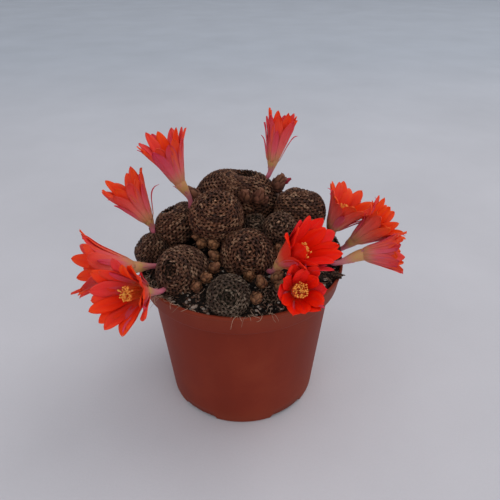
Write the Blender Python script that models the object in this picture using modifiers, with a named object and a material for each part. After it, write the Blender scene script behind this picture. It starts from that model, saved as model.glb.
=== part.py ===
"""A clump of small round cactus stems in flower, growing in a thin plastic pot of soil.

The origin is the middle of the pot's underside, +Z is up and the front of the plant faces -Y.
Heights in the tables below are above the pot's rim, and places in plan are shares of the rim's radius.
"""

import itertools
import math

import bmesh
import bpy
import numpy as np
from mathutils import Matrix, Vector

MM = 0.001
FIT_GAP = 0.3 * MM  # left between pieces that touch

# Pot
RIM_DIAMETER = 100 * MM
POT_HEIGHT = 76.8 * MM
COLLAR_HEIGHT = 10.4 * MM
COLLAR_TAPER = 1.9 * MM  # how much narrower the collar is each side at its foot
SHOULDER_STEP = 3.4 * MM  # from the collar's foot in to the body, each side
BODY_TAPER = 6.2 * MM  # how much narrower the body is each side at the base
WALL = 1.2 * MM
FOOT_RING_WIDTH = 3.0 * MM
FLOOR_LIFT = 1.8 * MM  # height of the drained part of the floor above the table
CENTRE_PAD_DIAMETER = 30 * MM  # the middle of the floor, which stands on the table
DRAIN_HOLES = 5
DRAIN_HOLE_DIAMETER = 6.5 * MM
FOOT_NOTCHES = 5
FOOT_NOTCH_WIDTH = 20 * MM
FOOT_NOTCH_HEIGHT = 1.1 * MM
POT_SIDES = 48

# Soil: a low dome, which would meet the rim's outer edge
MOUND_RISE = 7 * MM  # height of the dome's top above the rim
SOIL_SIDES = 40

# Stems: each is the hull of a round head and a smaller foot, cut level with the soil
STEM_TAPER = 0.62  # foot radius over head radius
STEM_SIDES = 14
STEM_RINGS = 8
STEMS = {
    # name: (place in plan, height of the head's centre, head radius, direction of its tip)
    "stem_01": ((-0.11, -0.80), 4.2 * MM, 8.7 * MM, (0.0, -0.83, 0.56)),
    "stem_02": ((0.06, -0.30), 8.6 * MM, 12.0 * MM, (0.05, -0.75, 0.66)),
    "stem_03": ((-0.53, -0.44), 5.0 * MM, 11.5 * MM, (-0.37, -0.73, 0.58)),
    "stem_04": ((-0.23, -0.02), 22.0 * MM, 12.1 * MM, (0.02, -0.38, 0.92)),
    "stem_05": ((-0.63, 0.14), 13.0 * MM, 9.9 * MM, (-0.40, 0.10, 0.91)),
    "stem_06": ((-0.86, -0.03), 4.2 * MM, 8.2 * MM, (-0.75, 0.0, 0.66)),
    "stem_07": ((0.14, 0.01), 16.0 * MM, 5.4 * MM, (0.0, -0.30, 0.95)),
    "stem_08": ((0.37, -0.12), 17.8 * MM, 7.4 * MM, (-0.15, -0.56, 0.81)),
    "stem_09": ((-0.04, 0.48), 17.6 * MM, 16.6 * MM, (0.30, 0.12, 0.95)),
    "stem_10": ((0.59, 0.21), 18.2 * MM, 12.0 * MM, (0.25, 0.33, 0.91)),
    "stem_11": ((0.79, -0.04), 3.8 * MM, 8.8 * MM, (0.80, -0.20, 0.56)),
    "stem_12": ((0.23, -0.73), 1.8 * MM, 4.4 * MM, (0.10, -0.85, 0.52)),
    "stem_13": ((-0.60, 0.56), 5.5 * MM, 9.3 * MM, (-0.60, 0.50, 0.62)),
    "stem_14": ((0.43, 0.72), 6.5 * MM, 9.6 * MM, (0.35, 0.70, 0.62)),
    "stem_15": ((-0.06, 0.87), 3.2 * MM, 7.2 * MM, (-0.05, 0.85, 0.52)),
}
WIDE_STEM = "stem_09"  # about to divide, so its head is a rounded bar
WIDE_STEM_SPREAD = 4.6 * MM  # each way from its middle, along X

# Flowers: a slender tube, a funnel of petals and the bundle of stamens inside it
TUBE_BASE_RADIUS = 1.5 * MM
THROAT_RADIUS = 3.2 * MM
TUBE_POINTS = 7
TUBE_WAIST = 2.2  # a higher power keeps the tube slender for longer before the throat
PETAL_THICKNESS = 0.6 * MM
PETALS = 8
PETAL_NOTCH = 0.26  # depth of the gap between two petal tips, over the petal length
FUNNEL_RINGS = 3
STAMEN_REACH = 0.58  # over the petal length
STAMEN_TOP_RADIUS = 2.9 * MM
STAMEN_SIDES = 8
FLOWERS = {
    # name: (stem, seat direction on its head, reach to the throat, facing, petal length, mouth radius, flare)
    "flower_01": ("stem_09", (0.66, 0.12, 0.74), (2, 1, 8.0), (0.20, 0.06, 0.97), 22, 7.5, 1.1),
    "flower_02": ("stem_05", (0.54, 0.41, 0.73), (-4, 0, 13.0), (-0.31, 0.0, 0.95), 22.5, 10.5, 1.2),
    "flower_03": ("stem_06", (0.05, 0.40, 0.91), (-2, -1, 7.0), (-0.44, -0.05, 0.90), 22, 10.5, 1.1),
    "flower_04": ("stem_03", (-0.80, 0.55, -0.20), (-7.5, -4, 5), (-0.84, -0.36, 0.40), 25, 11.5, 1.1),
    "flower_05": ("stem_03", (-0.55, -0.72, -0.42), (-7.5, -6, 4), (-0.43, -0.80, 0.42), 17, 12.5, 0.8),
    "flower_06": ("stem_11", (0.55, 0.76, -0.15), (-1, 0, 7.5), (0.26, -0.12, 0.96), 20, 9.5, 1.1),
    "flower_07": ("stem_11", (0.90, 0.33, -0.28), (9, -1, 8), (0.72, -0.22, 0.66), 21, 10.5, 1.1),
    "flower_08": ("stem_11", (0.25, -0.92, -0.20), (11, -4, 3), (0.95, -0.25, 0.17), 20, 9.5, 1.0),
    "flower_09": ("stem_02", (0.70, -0.68, -0.18), (7, -4, 8), (0.38, -0.60, 0.70), 20, 12.0, 0.9),
    "flower_10": ("stem_12", (0.80, -0.10, 0.50), (7, -4, 2), (0.05, -0.79, 0.61), 11, 11.0, 0.8),
}

# Buds, each nestled against the nearest stems
BUD_RADIUS = 2.1 * MM
BUD_LENGTH_SHARE = 1.25  # length over width
BUD_SIDES = 8
BUD_RINGS = 6
BUDS = {
    # name: (place in plan, height)
    "bud_01": ((-0.36, -0.25), 14.0 * MM),
    "bud_02": ((-0.25, -0.26), 15.0 * MM),
    "bud_03": ((-0.26, -0.32), 10.5 * MM),
    "bud_04": ((-0.25, -0.48), 8.0 * MM),
    "bud_05": ((-0.40, -0.68), 5.8 * MM),
    "bud_06": ((-0.33, -0.62), 7.5 * MM),
    "bud_07": ((0.07, -0.62), 7.5 * MM),
    "bud_08": ((0.31, -0.60), 3.9 * MM),
    "bud_09": ((0.11, -0.84), 2.2 * MM),
    "bud_10": ((0.05, 0.17), 27.5 * MM),
    "bud_11": ((0.17, 0.17), 27.0 * MM),
    "bud_12": ((0.41, 0.44), 29.5 * MM),
    "bud_13": ((0.33, -0.26), 12.5 * MM),
}

POT_PLASTIC = ("pot_plastic", (0.36, 0.10, 0.06), 0.45)
SOIL_GRIT = ("soil_grit", (0.05, 0.04, 0.035), 0.95)
STEM_SPINES = ("stem_spines", (0.14, 0.10, 0.075), 0.8)
BUD_SCALES = ("bud_scales", (0.30, 0.17, 0.11), 0.7)
TUBE_SKIN = ("tube_skin", (0.75, 0.30, 0.30), 0.5)
PETAL_SKIN = ("petal_skin", (0.85, 0.09, 0.02), 0.45)
STAMEN_POLLEN = ("stamen_pollen", (0.85, 0.50, 0.12), 0.7)

RIM_RADIUS = RIM_DIAMETER / 2
COLLAR_FOOT_RADIUS = RIM_RADIUS - COLLAR_TAPER
BODY_TOP_RADIUS = COLLAR_FOOT_RADIUS - SHOULDER_STEP
BASE_RADIUS = BODY_TOP_RADIUS - BODY_TAPER
SHOULDER_HEIGHT = POT_HEIGHT - COLLAR_HEIGHT
MOUND_RADIUS = (RIM_RADIUS**2 + MOUND_RISE**2) / (2 * MOUND_RISE)
MOUND_CENTRE = Vector((0, 0, POT_HEIGHT + MOUND_RISE - MOUND_RADIUS))


def clear_scene():
    for obj in list(bpy.data.objects):
        bpy.data.objects.remove(obj)


def new_collection(name, shown=True):
    collection = bpy.data.collections.new(name)
    collection.hide_render = not shown
    bpy.context.scene.collection.children.link(collection)
    return collection


def material_of(finish):
    name, colour, roughness = finish
    material = bpy.data.materials.get(name) or bpy.data.materials.new(name)
    material.use_nodes = True
    shader = material.node_tree.nodes["Principled BSDF"]
    shader.inputs["Base Color"].default_value = (*colour, 1)
    shader.inputs["Roughness"].default_value = roughness
    shader.inputs["Metallic"].default_value = 0
    return material


def add_object(name, data, collection, finish=None, matrix=None):
    obj = bpy.data.objects.new(name, data)
    collection.objects.link(obj)
    if finish:
        data.materials.append(material_of(finish))
    if matrix:
        obj.matrix_world = matrix
    return obj


def mesh_of(bm, name, smooth_below=0.7):
    """The finished mesh of a bmesh, shaded smooth across edges flatter than the angle given."""
    bmesh.ops.recalc_face_normals(bm, faces=bm.faces)
    mesh = bpy.data.meshes.new(name)
    bm.to_mesh(mesh)
    bm.free()
    mesh.shade_smooth()
    mesh.set_sharp_from_angle(angle=smooth_below)
    return mesh


# Pot and soil


def inner_profile(inset):
    """The pot's inside from its axis out and up, moved inwards by inset: (radius, height) pairs."""
    floor = FLOOR_LIFT + WALL + inset
    pad = WALL + inset
    pad_radius = CENTRE_PAD_DIAMETER / 2 - WALL - inset
    shoulder = SHOULDER_HEIGHT + WALL + inset

    def body(height):
        return BASE_RADIUS + BODY_TAPER * height / SHOULDER_HEIGHT - WALL - inset

    return [
        (0, pad),
        (pad_radius, pad),
        (pad_radius + WALL, floor),
        (body(floor), floor),
        (body(shoulder), shoulder),
        (COLLAR_FOOT_RADIUS - WALL - inset, shoulder),
        (RIM_RADIUS - WALL - inset, POT_HEIGHT),
    ]


def outer_profile():
    """The pot's outside from its rim down and in to its axis."""
    return [
        (RIM_RADIUS, POT_HEIGHT),
        (COLLAR_FOOT_RADIUS, SHOULDER_HEIGHT),
        (BODY_TOP_RADIUS, SHOULDER_HEIGHT),
        (BASE_RADIUS, 0),
        (BASE_RADIUS - FOOT_RING_WIDTH, 0),
        (BASE_RADIUS - FOOT_RING_WIDTH, FLOOR_LIFT),
        (CENTRE_PAD_DIAMETER / 2 + WALL, FLOOR_LIFT),
        (CENTRE_PAD_DIAMETER / 2, 0),
        (0, 0),
    ]


def turned(name, profile, sides, collection, finish):
    """A profile of (radius, height) pairs turned about Z."""
    mesh = bpy.data.meshes.new(name)
    points = [(radius, 0, height) for radius, height in profile]
    mesh.from_pydata(points, [(i, i + 1) for i in range(len(points) - 1)], [])
    obj = add_object(name, mesh, collection, finish)
    screw = obj.modifiers.new("turn", "SCREW")
    screw.steps = screw.render_steps = sides
    screw.use_merge_vertices = True
    screw.merge_threshold = 0.00001
    screw.use_smooth_shade = False
    return obj


def cut(target, cutter):
    boolean = target.modifiers.new(f"cut_{cutter.name}", "BOOLEAN")
    boolean.operation = "DIFFERENCE"
    boolean.object = cutter
    cutter.hide_render = True
    cutter.display_type = "WIRE"


def make_pot(parts, cutters):
    pot = turned("pot", inner_profile(0) + outer_profile(), POT_SIDES, parts, POT_PLASTIC)
    ring_radius = (CENTRE_PAD_DIAMETER / 2 + BASE_RADIUS - FOOT_RING_WIDTH) / 2
    for i in range(DRAIN_HOLES):
        angle = 2 * math.pi * (i + 0.3) / DRAIN_HOLES  # so that no hole's edge lines up with a facet's
        bm = bmesh.new()
        bmesh.ops.create_cone(
            bm,
            cap_ends=True,
            segments=12,
            radius1=DRAIN_HOLE_DIAMETER / 2,
            radius2=DRAIN_HOLE_DIAMETER / 2,
            depth=4 * (FLOOR_LIFT + WALL),
        )
        place = Matrix.Rotation(angle, 4, "Z") @ Matrix.Translation((ring_radius, 0, FLOOR_LIFT))
        cut(pot, add_object(f"drain_cutter_{i + 1}", mesh_of(bm, "drain"), cutters, matrix=place))
    for i in range(FOOT_NOTCHES):
        angle = 2 * math.pi * (i + 0.5) / FOOT_NOTCHES - math.pi / 2
        bm = bmesh.new()
        bmesh.ops.create_cube(bm, size=1)
        size = (2 * FOOT_RING_WIDTH + 2 * WALL, FOOT_NOTCH_WIDTH, 2 * FOOT_NOTCH_HEIGHT)
        bmesh.ops.scale(bm, vec=size, verts=bm.verts)
        place = Matrix.Rotation(angle, 4, "Z") @ Matrix.Translation((BASE_RADIUS, 0, 0))
        cut(pot, add_object(f"notch_cutter_{i + 1}", mesh_of(bm, "notch"), cutters, matrix=place))
    return pot


def mound_height(radius):
    return MOUND_CENTRE.z + math.sqrt(MOUND_RADIUS**2 - radius**2)


def make_soil(parts):
    """Fills the pot to its rim and domes up under the stems."""
    inside = inner_profile(FIT_GAP)
    edge = inside[-1][0]
    top = [(edge * share, mound_height(edge * share)) for share in (0, 0.28, 0.5, 0.7, 0.86, 1)]
    return turned("soil", top + inside[-2::-1], SOIL_SIDES, parts, SOIL_GRIT)


# Stems


class Ball:
    """A centre and a radius. Stems, tubes and buds are kept clear of each other by their balls."""

    def __init__(self, centre, radius):
        self.centre = Vector(centre)
        self.radius = radius


def plan(place, height):
    return Vector((place[0] * RIM_RADIUS, place[1] * RIM_RADIUS, POT_HEIGHT + height))


def stem_balls(name):
    """A stem's head and its foot, which stands nearer the middle of the pot by the stem's lean."""
    place, height, radius, tip = STEMS[name]
    head = plan(place, height)
    lean = Vector(tip).normalized()
    foot = Vector((head.x - lean.x * radius * 0.7, head.y - lean.y * radius * 0.7, 0))
    foot.z = mound_height(math.hypot(foot.x, foot.y))
    balls = [Ball(foot, radius * STEM_TAPER)]
    if name == WIDE_STEM:
        side = Vector((WIDE_STEM_SPREAD, 0, 0))
        return [*balls, Ball(head - side, radius), Ball(head + side, radius)]
    return [*balls, Ball(head, radius)]


def filled(balls, steps=7):
    """Balls spread through the hull of two or three: an array of x, y, z, radius rows."""
    corners = np.array([[*ball.centre, ball.radius] for ball in balls])
    shares = np.linspace(0, 1, steps)
    if len(corners) == 2:
        return np.array([corners[0] * (1 - a) + corners[1] * a for a in shares])
    return np.array(
        [
            corners[0] * (1 - a) + (corners[1] * (1 - b) + corners[2] * b) * a
            for a in shares
            for b in shares
        ]
    )


def parting_plane(own, other):
    """The plane where two filled bodies press on each other hardest: a point and the way to the other."""
    apart = other[None, :, :3] - own[:, None, :3]
    distance = np.linalg.norm(apart, axis=2)
    overlap = own[:, None, 3] + other[None, :, 3] - distance
    i, j = np.unravel_index(np.argmax(overlap), overlap.shape)
    gap = distance[i, j]
    along = (gap**2 + own[i, 3] ** 2 - other[j, 3] ** 2) / (2 * gap)
    direction = Vector(apart[i, j] / gap)
    return Vector(own[i, :3]) + direction * (along - FIT_GAP / 2), direction


def trim(bm, point, outwards):
    """Cuts a convex solid off at a plane and closes it."""
    geometry = bm.verts[:] + bm.edges[:] + bm.faces[:]
    bmesh.ops.bisect_plane(bm, geom=geometry, plane_co=point, plane_no=outwards, clear_outer=True)
    open_edges = [edge for edge in bm.edges if edge.is_boundary]
    if open_edges:
        bmesh.ops.contextual_create(bm, geom=open_edges)


def make_stem(name, bodies, parts):
    axis = Vector(STEMS[name][3]).normalized()
    bm = bmesh.new()
    for ball in stem_balls(name):
        turn = Matrix.Translation(ball.centre) @ axis.to_track_quat("Z", "Y").to_matrix().to_4x4()
        bmesh.ops.create_uvsphere(
            bm, u_segments=STEM_SIDES, v_segments=STEM_RINGS, radius=ball.radius, matrix=turn
        )
    hull = bmesh.ops.convex_hull(bm, input=bm.verts)
    loose = {item for item in hull["geom_interior"] + hull["geom_unused"] if isinstance(item, bmesh.types.BMVert)}
    bmesh.ops.delete(bm, geom=list(loose), context="VERTS")
    kept = set(hull["geom"])
    inner_faces = [face for face in bm.faces if face not in kept]
    bmesh.ops.delete(bm, geom=inner_faces, context="FACES_ONLY")
    foot = stem_balls(name)[0].centre
    outwards = (foot - MOUND_CENTRE).normalized()
    trim(bm, foot + outwards * FIT_GAP, -outwards)
    for other, body in bodies.items():
        if other != name:
            trim(bm, *parting_plane(bodies[name], body))
    bmesh.ops.dissolve_degenerate(bm, dist=0.02 * MM, edges=bm.edges)
    bmesh.ops.triangulate(bm, faces=bm.faces)
    return add_object(name, mesh_of(bm, name), parts, STEM_SPINES)


# Flowers and buds


def pushed_clear(point, radius, obstacles):
    """Moves a ball out of the soil and of the bodies that it is in, until it only touches them."""
    point = Vector(point)
    for _ in range(80):
        from_dome = point - MOUND_CENTRE
        lift = MOUND_RADIUS + radius + FIT_GAP - from_dome.length
        point += from_dome.normalized() * max(lift, 0)
        away = np.array(point) - obstacles[:, :3]
        distance = np.linalg.norm(away, axis=1)
        depth = obstacles[:, 3] + radius + FIT_GAP - distance
        worst = int(np.argmax(depth))
        if depth[worst] <= 1e-7:
            break
        point += Vector(away[worst] / distance[worst]) * float(depth[worst])
    return point


def bezier(p0, p1, p2, p3, t):
    return p0 * (1 - t) ** 3 + p1 * 3 * t * (1 - t) ** 2 + p2 * 3 * t**2 * (1 - t) + p3 * t**3


def tube_radius(t):
    return TUBE_BASE_RADIUS + (THROAT_RADIUS - TUBE_BASE_RADIUS) * t**TUBE_WAIST


def nearest_surface(point, obstacles):
    """The centre of the ball whose surface is nearest to a point, and its radius."""
    away = np.linalg.norm(obstacles[:, :3] - np.array(point), axis=1) - obstacles[:, 3]
    *centre, radius = obstacles[int(np.argmin(away))]
    return Vector(centre), float(radius)


def settled(point, radius, seats, obstacles):
    """Brings a ball up to the nearest seat, then clear of everything else."""
    for _ in range(4):
        centre, across = nearest_surface(point, seats)
        outwards = (Vector(point) - centre).normalized()
        point = pushed_clear(centre + outwards * (across + radius + FIT_GAP), radius, obstacles)
    return point


def tube_path(name, stems, obstacles):
    """Points and radii along a flower's tube, from its seat on the stem's head to its throat."""
    stem, seat, reach, facing, *_ = FLOWERS[name]
    head = stem_balls(stem)[-1]
    out = Vector(seat).normalized()
    start = settled(head.centre + out * head.radius, TUBE_BASE_RADIUS, stems, obstacles)
    throat = start + Vector(reach) * MM
    bend = (throat - start).length * 0.4
    facing = Vector(facing).normalized()
    path, radii = [], []
    for i in range(TUBE_POINTS):
        share = i / (TUBE_POINTS - 1)
        radii.append(tube_radius(share))
        point = bezier(start, start + out * bend, throat - facing * bend, throat, share)
        path.append(pushed_clear(point, radii[-1], obstacles))
    # A rounded foot towards the stem, and a straight end so that the throat is square to the flower.
    inwards = (nearest_surface(path[0], obstacles)[0] - path[0]).normalized()
    path.insert(0, path[0] + inwards * TUBE_BASE_RADIUS * 0.9)
    radii.insert(0, TUBE_BASE_RADIUS * 0.4)
    path.append(path[-1] + facing * THROAT_RADIUS / 2)
    radii.append(THROAT_RADIUS)
    return path, radii


def make_tube(name, path, radii, parts):
    curve = bpy.data.curves.new(f"{name}_tube", "CURVE")
    curve.dimensions = "3D"
    curve.bevel_depth = 1.0
    curve.bevel_resolution = 2
    curve.use_fill_caps = True
    spline = curve.splines.new("POLY")
    spline.points.add(len(path) - 1)
    for point, place, radius in zip(spline.points, path, radii, strict=True):
        point.co = (*place, 1)
        point.radius = radius
    return add_object(f"{name}_tube", curve, parts, TUBE_SKIN)


def flower_frame(name, throat):
    """A frame at the flower's throat with Z along the way that it faces."""
    facing = Vector(FLOWERS[name][3]).normalized()
    return Matrix.Translation(throat) @ facing.to_track_quat("Z", "Y").to_matrix().to_4x4()


def funnel_point(name, share, angle, notch):
    """A point on the funnel: share runs from the throat to the tips, notch from tip 0 to gap 1."""
    *_, length, mouth, flare = FLOWERS[name]
    share *= 1 - PETAL_NOTCH * notch * share
    throat = THROAT_RADIUS - PETAL_THICKNESS / 2
    radius = throat + (mouth * MM - throat) * share**flare
    height = FIT_GAP + PETAL_THICKNESS / 2 + length * MM * share
    return Vector((radius * math.cos(angle), radius * math.sin(angle), height))


def funnel_sheet(name, frame):
    """Columns of points up the funnel, tip and gap by turns."""
    rows = range(FUNNEL_RINGS + 1)
    return [
        [frame @ funnel_point(name, j / FUNNEL_RINGS, math.pi * i / PETALS, i % 2) for j in rows]
        for i in range(2 * PETALS)
    ]


def part_sheets(first, second):
    """Presses two funnels that run into each other back to a plane between them."""
    middles = [sum((point for column in sheet for point in column), Vector()) for sheet in (first, second)]
    count = len(first) * len(first[0])
    way = (middles[1] / count - middles[0] / count).normalized()
    reach = max(point.dot(way) for column in first for point in column)
    start = min(point.dot(way) for column in second for point in column)
    half_gap = FIT_GAP / 2 + PETAL_THICKNESS
    level = (reach + start) / 2
    for column in first:
        for point in column:
            point -= way * max(point.dot(way) - level + half_gap, 0)
    for column in second:
        for point in column:
            point += way * max(level + half_gap - point.dot(way), 0)


def near(first, second):
    """Whether any point of one funnel is within a petal's width of the other."""
    own = np.array([point for column in first for point in column])
    other = np.array([point for column in second for point in column])
    return np.linalg.norm(own[:, None] - other[None], axis=2).min() < THROAT_RADIUS


def make_petals(name, sheet, obstacles, parts):
    """One thin funnel with a scalloped mouth."""
    bm = bmesh.new()
    columns = []
    for column in sheet:
        foot, *rest = column
        clear = [foot, *[pushed_clear(point, PETAL_THICKNESS, obstacles) for point in rest]]
        columns.append([bm.verts.new(point) for point in clear])
    for i, column in enumerate(columns):
        following = columns[(i + 1) % len(columns)]
        for j in range(FUNNEL_RINGS):
            bm.faces.new((column[j], following[j], following[j + 1], column[j + 1]))
    obj = add_object(f"{name}_petals", mesh_of(bm, f"{name}_petals"), parts, PETAL_SKIN)
    thicken = obj.modifiers.new("thickness", "SOLIDIFY")
    thicken.thickness = PETAL_THICKNESS
    thicken.offset = 0
    return obj


def make_stamens(name, frame, parts):
    """The stamens and the style as one bundle, which stands on the end of the tube."""
    length = FLOWERS[name][4] * MM * STAMEN_REACH
    foot = THROAT_RADIUS - PETAL_THICKNESS - 2 * FIT_GAP
    waist = foot * 0.6
    rings = [(foot, 0), (waist, length * 0.35), (STAMEN_TOP_RADIUS * 0.8, length * 0.85)]
    rings += [(STAMEN_TOP_RADIUS, length * 0.93), (STAMEN_TOP_RADIUS * 0.5, length)]
    profile = [(0, rings[-1][1]), *rings[::-1], (0, 0)]
    stamens = turned(f"{name}_stamens", profile, STAMEN_SIDES, parts, STAMEN_POLLEN)
    stamens.matrix_world = frame @ Matrix.Translation((0, 0, FIT_GAP))
    return stamens


def make_bud(name, stems, obstacles, parts):
    """A small egg which rests end on against a stem."""
    place, height = BUDS[name]
    reach = BUD_RADIUS * BUD_LENGTH_SHARE
    centre = settled(plan(place, height), reach, stems, obstacles)
    bm = bmesh.new()
    bmesh.ops.create_uvsphere(bm, u_segments=BUD_SIDES, v_segments=BUD_RINGS, radius=BUD_RADIUS)
    bmesh.ops.scale(bm, vec=(1, 1, BUD_LENGTH_SHARE), verts=bm.verts)
    outwards = (centre - nearest_surface(centre, stems)[0]).normalized()
    place = Matrix.Translation(centre) @ outwards.to_track_quat("Z", "Y").to_matrix().to_4x4()
    add_object(name, mesh_of(bm, name), parts, BUD_SCALES, place)
    return np.array([[*centre, reach]])


def main():
    clear_scene()
    parts = new_collection("potted_round_cactus")
    cutters = new_collection("cutters", shown=False)
    make_pot(parts, cutters)
    make_soil(parts)
    bodies = {name: filled(stem_balls(name)) for name in STEMS}
    for name in STEMS:
        make_stem(name, bodies, parts)
    stems = obstacles = np.concatenate(list(bodies.values()))
    sheets = {}
    tubes = {}
    for name in FLOWERS:
        path, radii = tube_path(name, stems, obstacles)
        make_tube(name, path, radii, parts)
        frame = flower_frame(name, path[-1])
        sheets[name] = funnel_sheet(name, frame)
        make_stamens(name, frame, parts)
        tubes[name] = np.array([[*place, radius] for place, radius in zip(path, radii, strict=True)])
        obstacles = np.concatenate([obstacles, tubes[name]])
    for name in BUDS:
        obstacles = np.concatenate([obstacles, make_bud(name, stems, obstacles, parts)])
    for first, second in itertools.combinations(sheets.values(), 2):
        if near(first, second):
            part_sheets(first, second)
    for name, sheet in sheets.items():
        # The petals keep clear of everything but the end of their own tube.
        others = obstacles[~np.isin(obstacles, tubes[name]).all(axis=1)]
        make_petals(name, sheet, others, parts)


main()
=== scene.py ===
import math

import bpy
import numpy as np
from mathutils import Matrix, Vector


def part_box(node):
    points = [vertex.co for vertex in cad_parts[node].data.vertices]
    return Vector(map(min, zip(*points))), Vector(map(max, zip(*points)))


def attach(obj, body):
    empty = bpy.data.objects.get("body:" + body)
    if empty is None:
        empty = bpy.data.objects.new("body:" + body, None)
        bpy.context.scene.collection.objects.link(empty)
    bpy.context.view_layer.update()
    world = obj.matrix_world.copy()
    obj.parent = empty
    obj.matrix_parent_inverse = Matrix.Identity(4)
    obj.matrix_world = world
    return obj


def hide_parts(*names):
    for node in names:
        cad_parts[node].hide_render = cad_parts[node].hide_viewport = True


mm = 0.001
golden = math.pi * (3 - math.sqrt(5))

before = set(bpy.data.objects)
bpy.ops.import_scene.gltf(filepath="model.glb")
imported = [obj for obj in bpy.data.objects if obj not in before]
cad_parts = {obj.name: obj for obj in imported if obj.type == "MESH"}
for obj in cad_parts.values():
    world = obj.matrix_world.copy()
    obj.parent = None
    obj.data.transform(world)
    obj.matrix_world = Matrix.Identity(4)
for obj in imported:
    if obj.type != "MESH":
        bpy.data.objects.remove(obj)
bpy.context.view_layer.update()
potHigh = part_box("pot")[1]
rimRadius = potHigh.x
rimHeight = potHigh.z
print("frame loaded, rim", round(rimRadius * 2 / mm), "mm across")


class Wire:
    # one output of a node, so that shader maths can be written as plain sums
    def __init__(self, finish, socket):
        self.finish = finish
        self.socket = socket

    def maths(self, operation, first, second=0.0, clamp=False):
        settings = {"operation": operation, "use_clamp": clamp}
        return self.finish.node("ShaderNodeMath", settings, {0: first, 1: second})

    def __add__(self, other):
        return self.maths("ADD", self, other)

    def __radd__(self, other):
        return self.maths("ADD", other, self)

    def __sub__(self, other):
        return self.maths("SUBTRACT", self, other)

    def __rsub__(self, other):
        return self.maths("SUBTRACT", other, self)

    def __mul__(self, other):
        return self.maths("MULTIPLY", self, other)

    def __rmul__(self, other):
        return self.maths("MULTIPLY", other, self)

    def __truediv__(self, other):
        return self.maths("DIVIDE", self, other)

    def held(self):
        # kept between 0 and 1
        return self.maths("ADD", self, 0.0, True)


class Finish:
    # a Principled material and short ways to feed it
    def __init__(self, name, colour, roughness, constants=None):
        self.material = bpy.data.materials.new(name)
        self.material.use_nodes = True
        self.tree = self.material.node_tree
        self.shader = self.tree.nodes["Principled BSDF"]
        self.material.diffuse_color = (*colour, 1)
        self.feed(self.shader.inputs["Base Color"], (*colour, 1))
        self.feed(self.shader.inputs["Roughness"], roughness)
        for key, value in (constants or {}).items():
            self.feed(self.shader.inputs[key], value)

    def feed(self, socket, value):
        if isinstance(value, Wire):
            self.tree.links.new(value.socket, socket)
        else:
            socket.default_value = value

    def node(self, kind, settings=None, sockets=None, out=0):
        made = self.tree.nodes.new(kind)
        for key, value in (settings or {}).items():
            if key == "stops":
                ramp = made.color_ramp
                while len(ramp.elements) < len(value):
                    ramp.elements.new(0.5)
                for element, (place, colour) in zip(ramp.elements, value):
                    element.position = place
                    element.color = (*colour, 1)
            else:
                setattr(made, key, value)
        for key, value in (sockets or {}).items():
            self.feed(made.inputs[key], value)
        return Wire(self, made.outputs[out])

    def value(self, name):
        # a number stored on the mesh
        return self.node("ShaderNodeAttribute", {"attribute_name": name}, out="Fac")

    def place(self):
        return self.node("ShaderNodeTexCoord", out="Object")

    def noise(self, scale, detail=4.0, rough=0.55, stretch=None):
        spot = self.place()
        if stretch:
            spot = self.node("ShaderNodeMapping", None, {"Vector": spot, "Scale": stretch})
        sockets = {"Vector": spot, "Scale": scale, "Detail": detail, "Roughness": rough}
        return self.node("ShaderNodeTexNoise", None, sockets)

    def ramp(self, value, *stops):
        return self.node("ShaderNodeValToRGB", {"stops": stops}, {"Fac": value})

    def mix(self, share, first, second, blend="MIX"):
        settings = {"data_type": "RGBA", "blend_type": blend}
        first = first if isinstance(first, Wire) else (*first, 1)
        second = second if isinstance(second, Wire) else (*second, 1)
        return self.node("ShaderNodeMix", settings, {0: share, 6: first, 7: second}, out=2)

    def step(self, value, start, end):
        # 0 below start, 1 above end
        sockets = {0: value, 1: start, 2: end, 3: 0.0, 4: 1.0}
        return self.node("ShaderNodeMapRange", {"interpolation_type": "SMOOTHSTEP"}, sockets)

    def bump(self, height, strength, distance):
        sockets = {"Height": height, "Strength": strength, "Distance": distance}
        return self.node("ShaderNodeBump", None, sockets)

    def wear(self, colour=None, roughness=None, normal=None):
        for name, value in (("Base Color", colour), ("Roughness", roughness), ("Normal", normal)):
            if value is not None:
                self.feed(self.shader.inputs[name], value)
        return self.material


class Heap:
    # gathers many small shapes into one mesh, with a few numbers on every point for its finish
    def __init__(self, *channels):
        self.points = []
        self.faces = []
        self.slots = []
        self.count = 0
        self.channels = {name: [] for name in channels}

    def add(self, points, faces, slot=0, **values):
        points = np.asarray(points, float).reshape(-1, 3)
        self.points.append(points)
        for face in faces:
            self.faces.extend((np.asarray(face) + self.count).tolist())
            self.slots.append(np.full(len(face), slot))
        self.count += len(points)
        for name, kept in self.channels.items():
            kept.append(np.broadcast_to(values.get(name, 0.0), len(points)).astype(float))

    def piece(self, name, materials, smooth=True):
        mesh = bpy.data.meshes.new(name)
        mesh.from_pydata(np.concatenate(self.points).tolist(), [], self.faces)
        for channel, kept in self.channels.items():
            mesh.attributes.new(channel, "FLOAT", "POINT").data.foreach_set("value", np.concatenate(kept))
        for material in materials:
            mesh.materials.append(material)
        mesh.polygons.foreach_set("material_index", np.concatenate(self.slots).astype(int))
        mesh.polygons.foreach_set("use_smooth", np.full(len(self.faces), smooth))
        mesh.update()
        made = bpy.data.objects.new(name, mesh)
        bpy.context.scene.collection.objects.link(made)
        return made


def settle(piece, slot, *nodes):
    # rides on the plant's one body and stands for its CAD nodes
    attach(piece, "root")
    if nodes:
        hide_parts(*nodes)
    return piece


def gridFaces(rows, columns, wrap=False):
    # quads of a grid of points laid out row by row
    across = columns if wrap else columns - 1
    i, j = np.meshgrid(np.arange(rows - 1), np.arange(across), indexing="ij")
    k = (j + 1) % columns
    here, below = i * columns, (i + 1) * columns
    return np.stack([here + j, here + k, below + k, below + j], -1).reshape(-1, 4)


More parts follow.
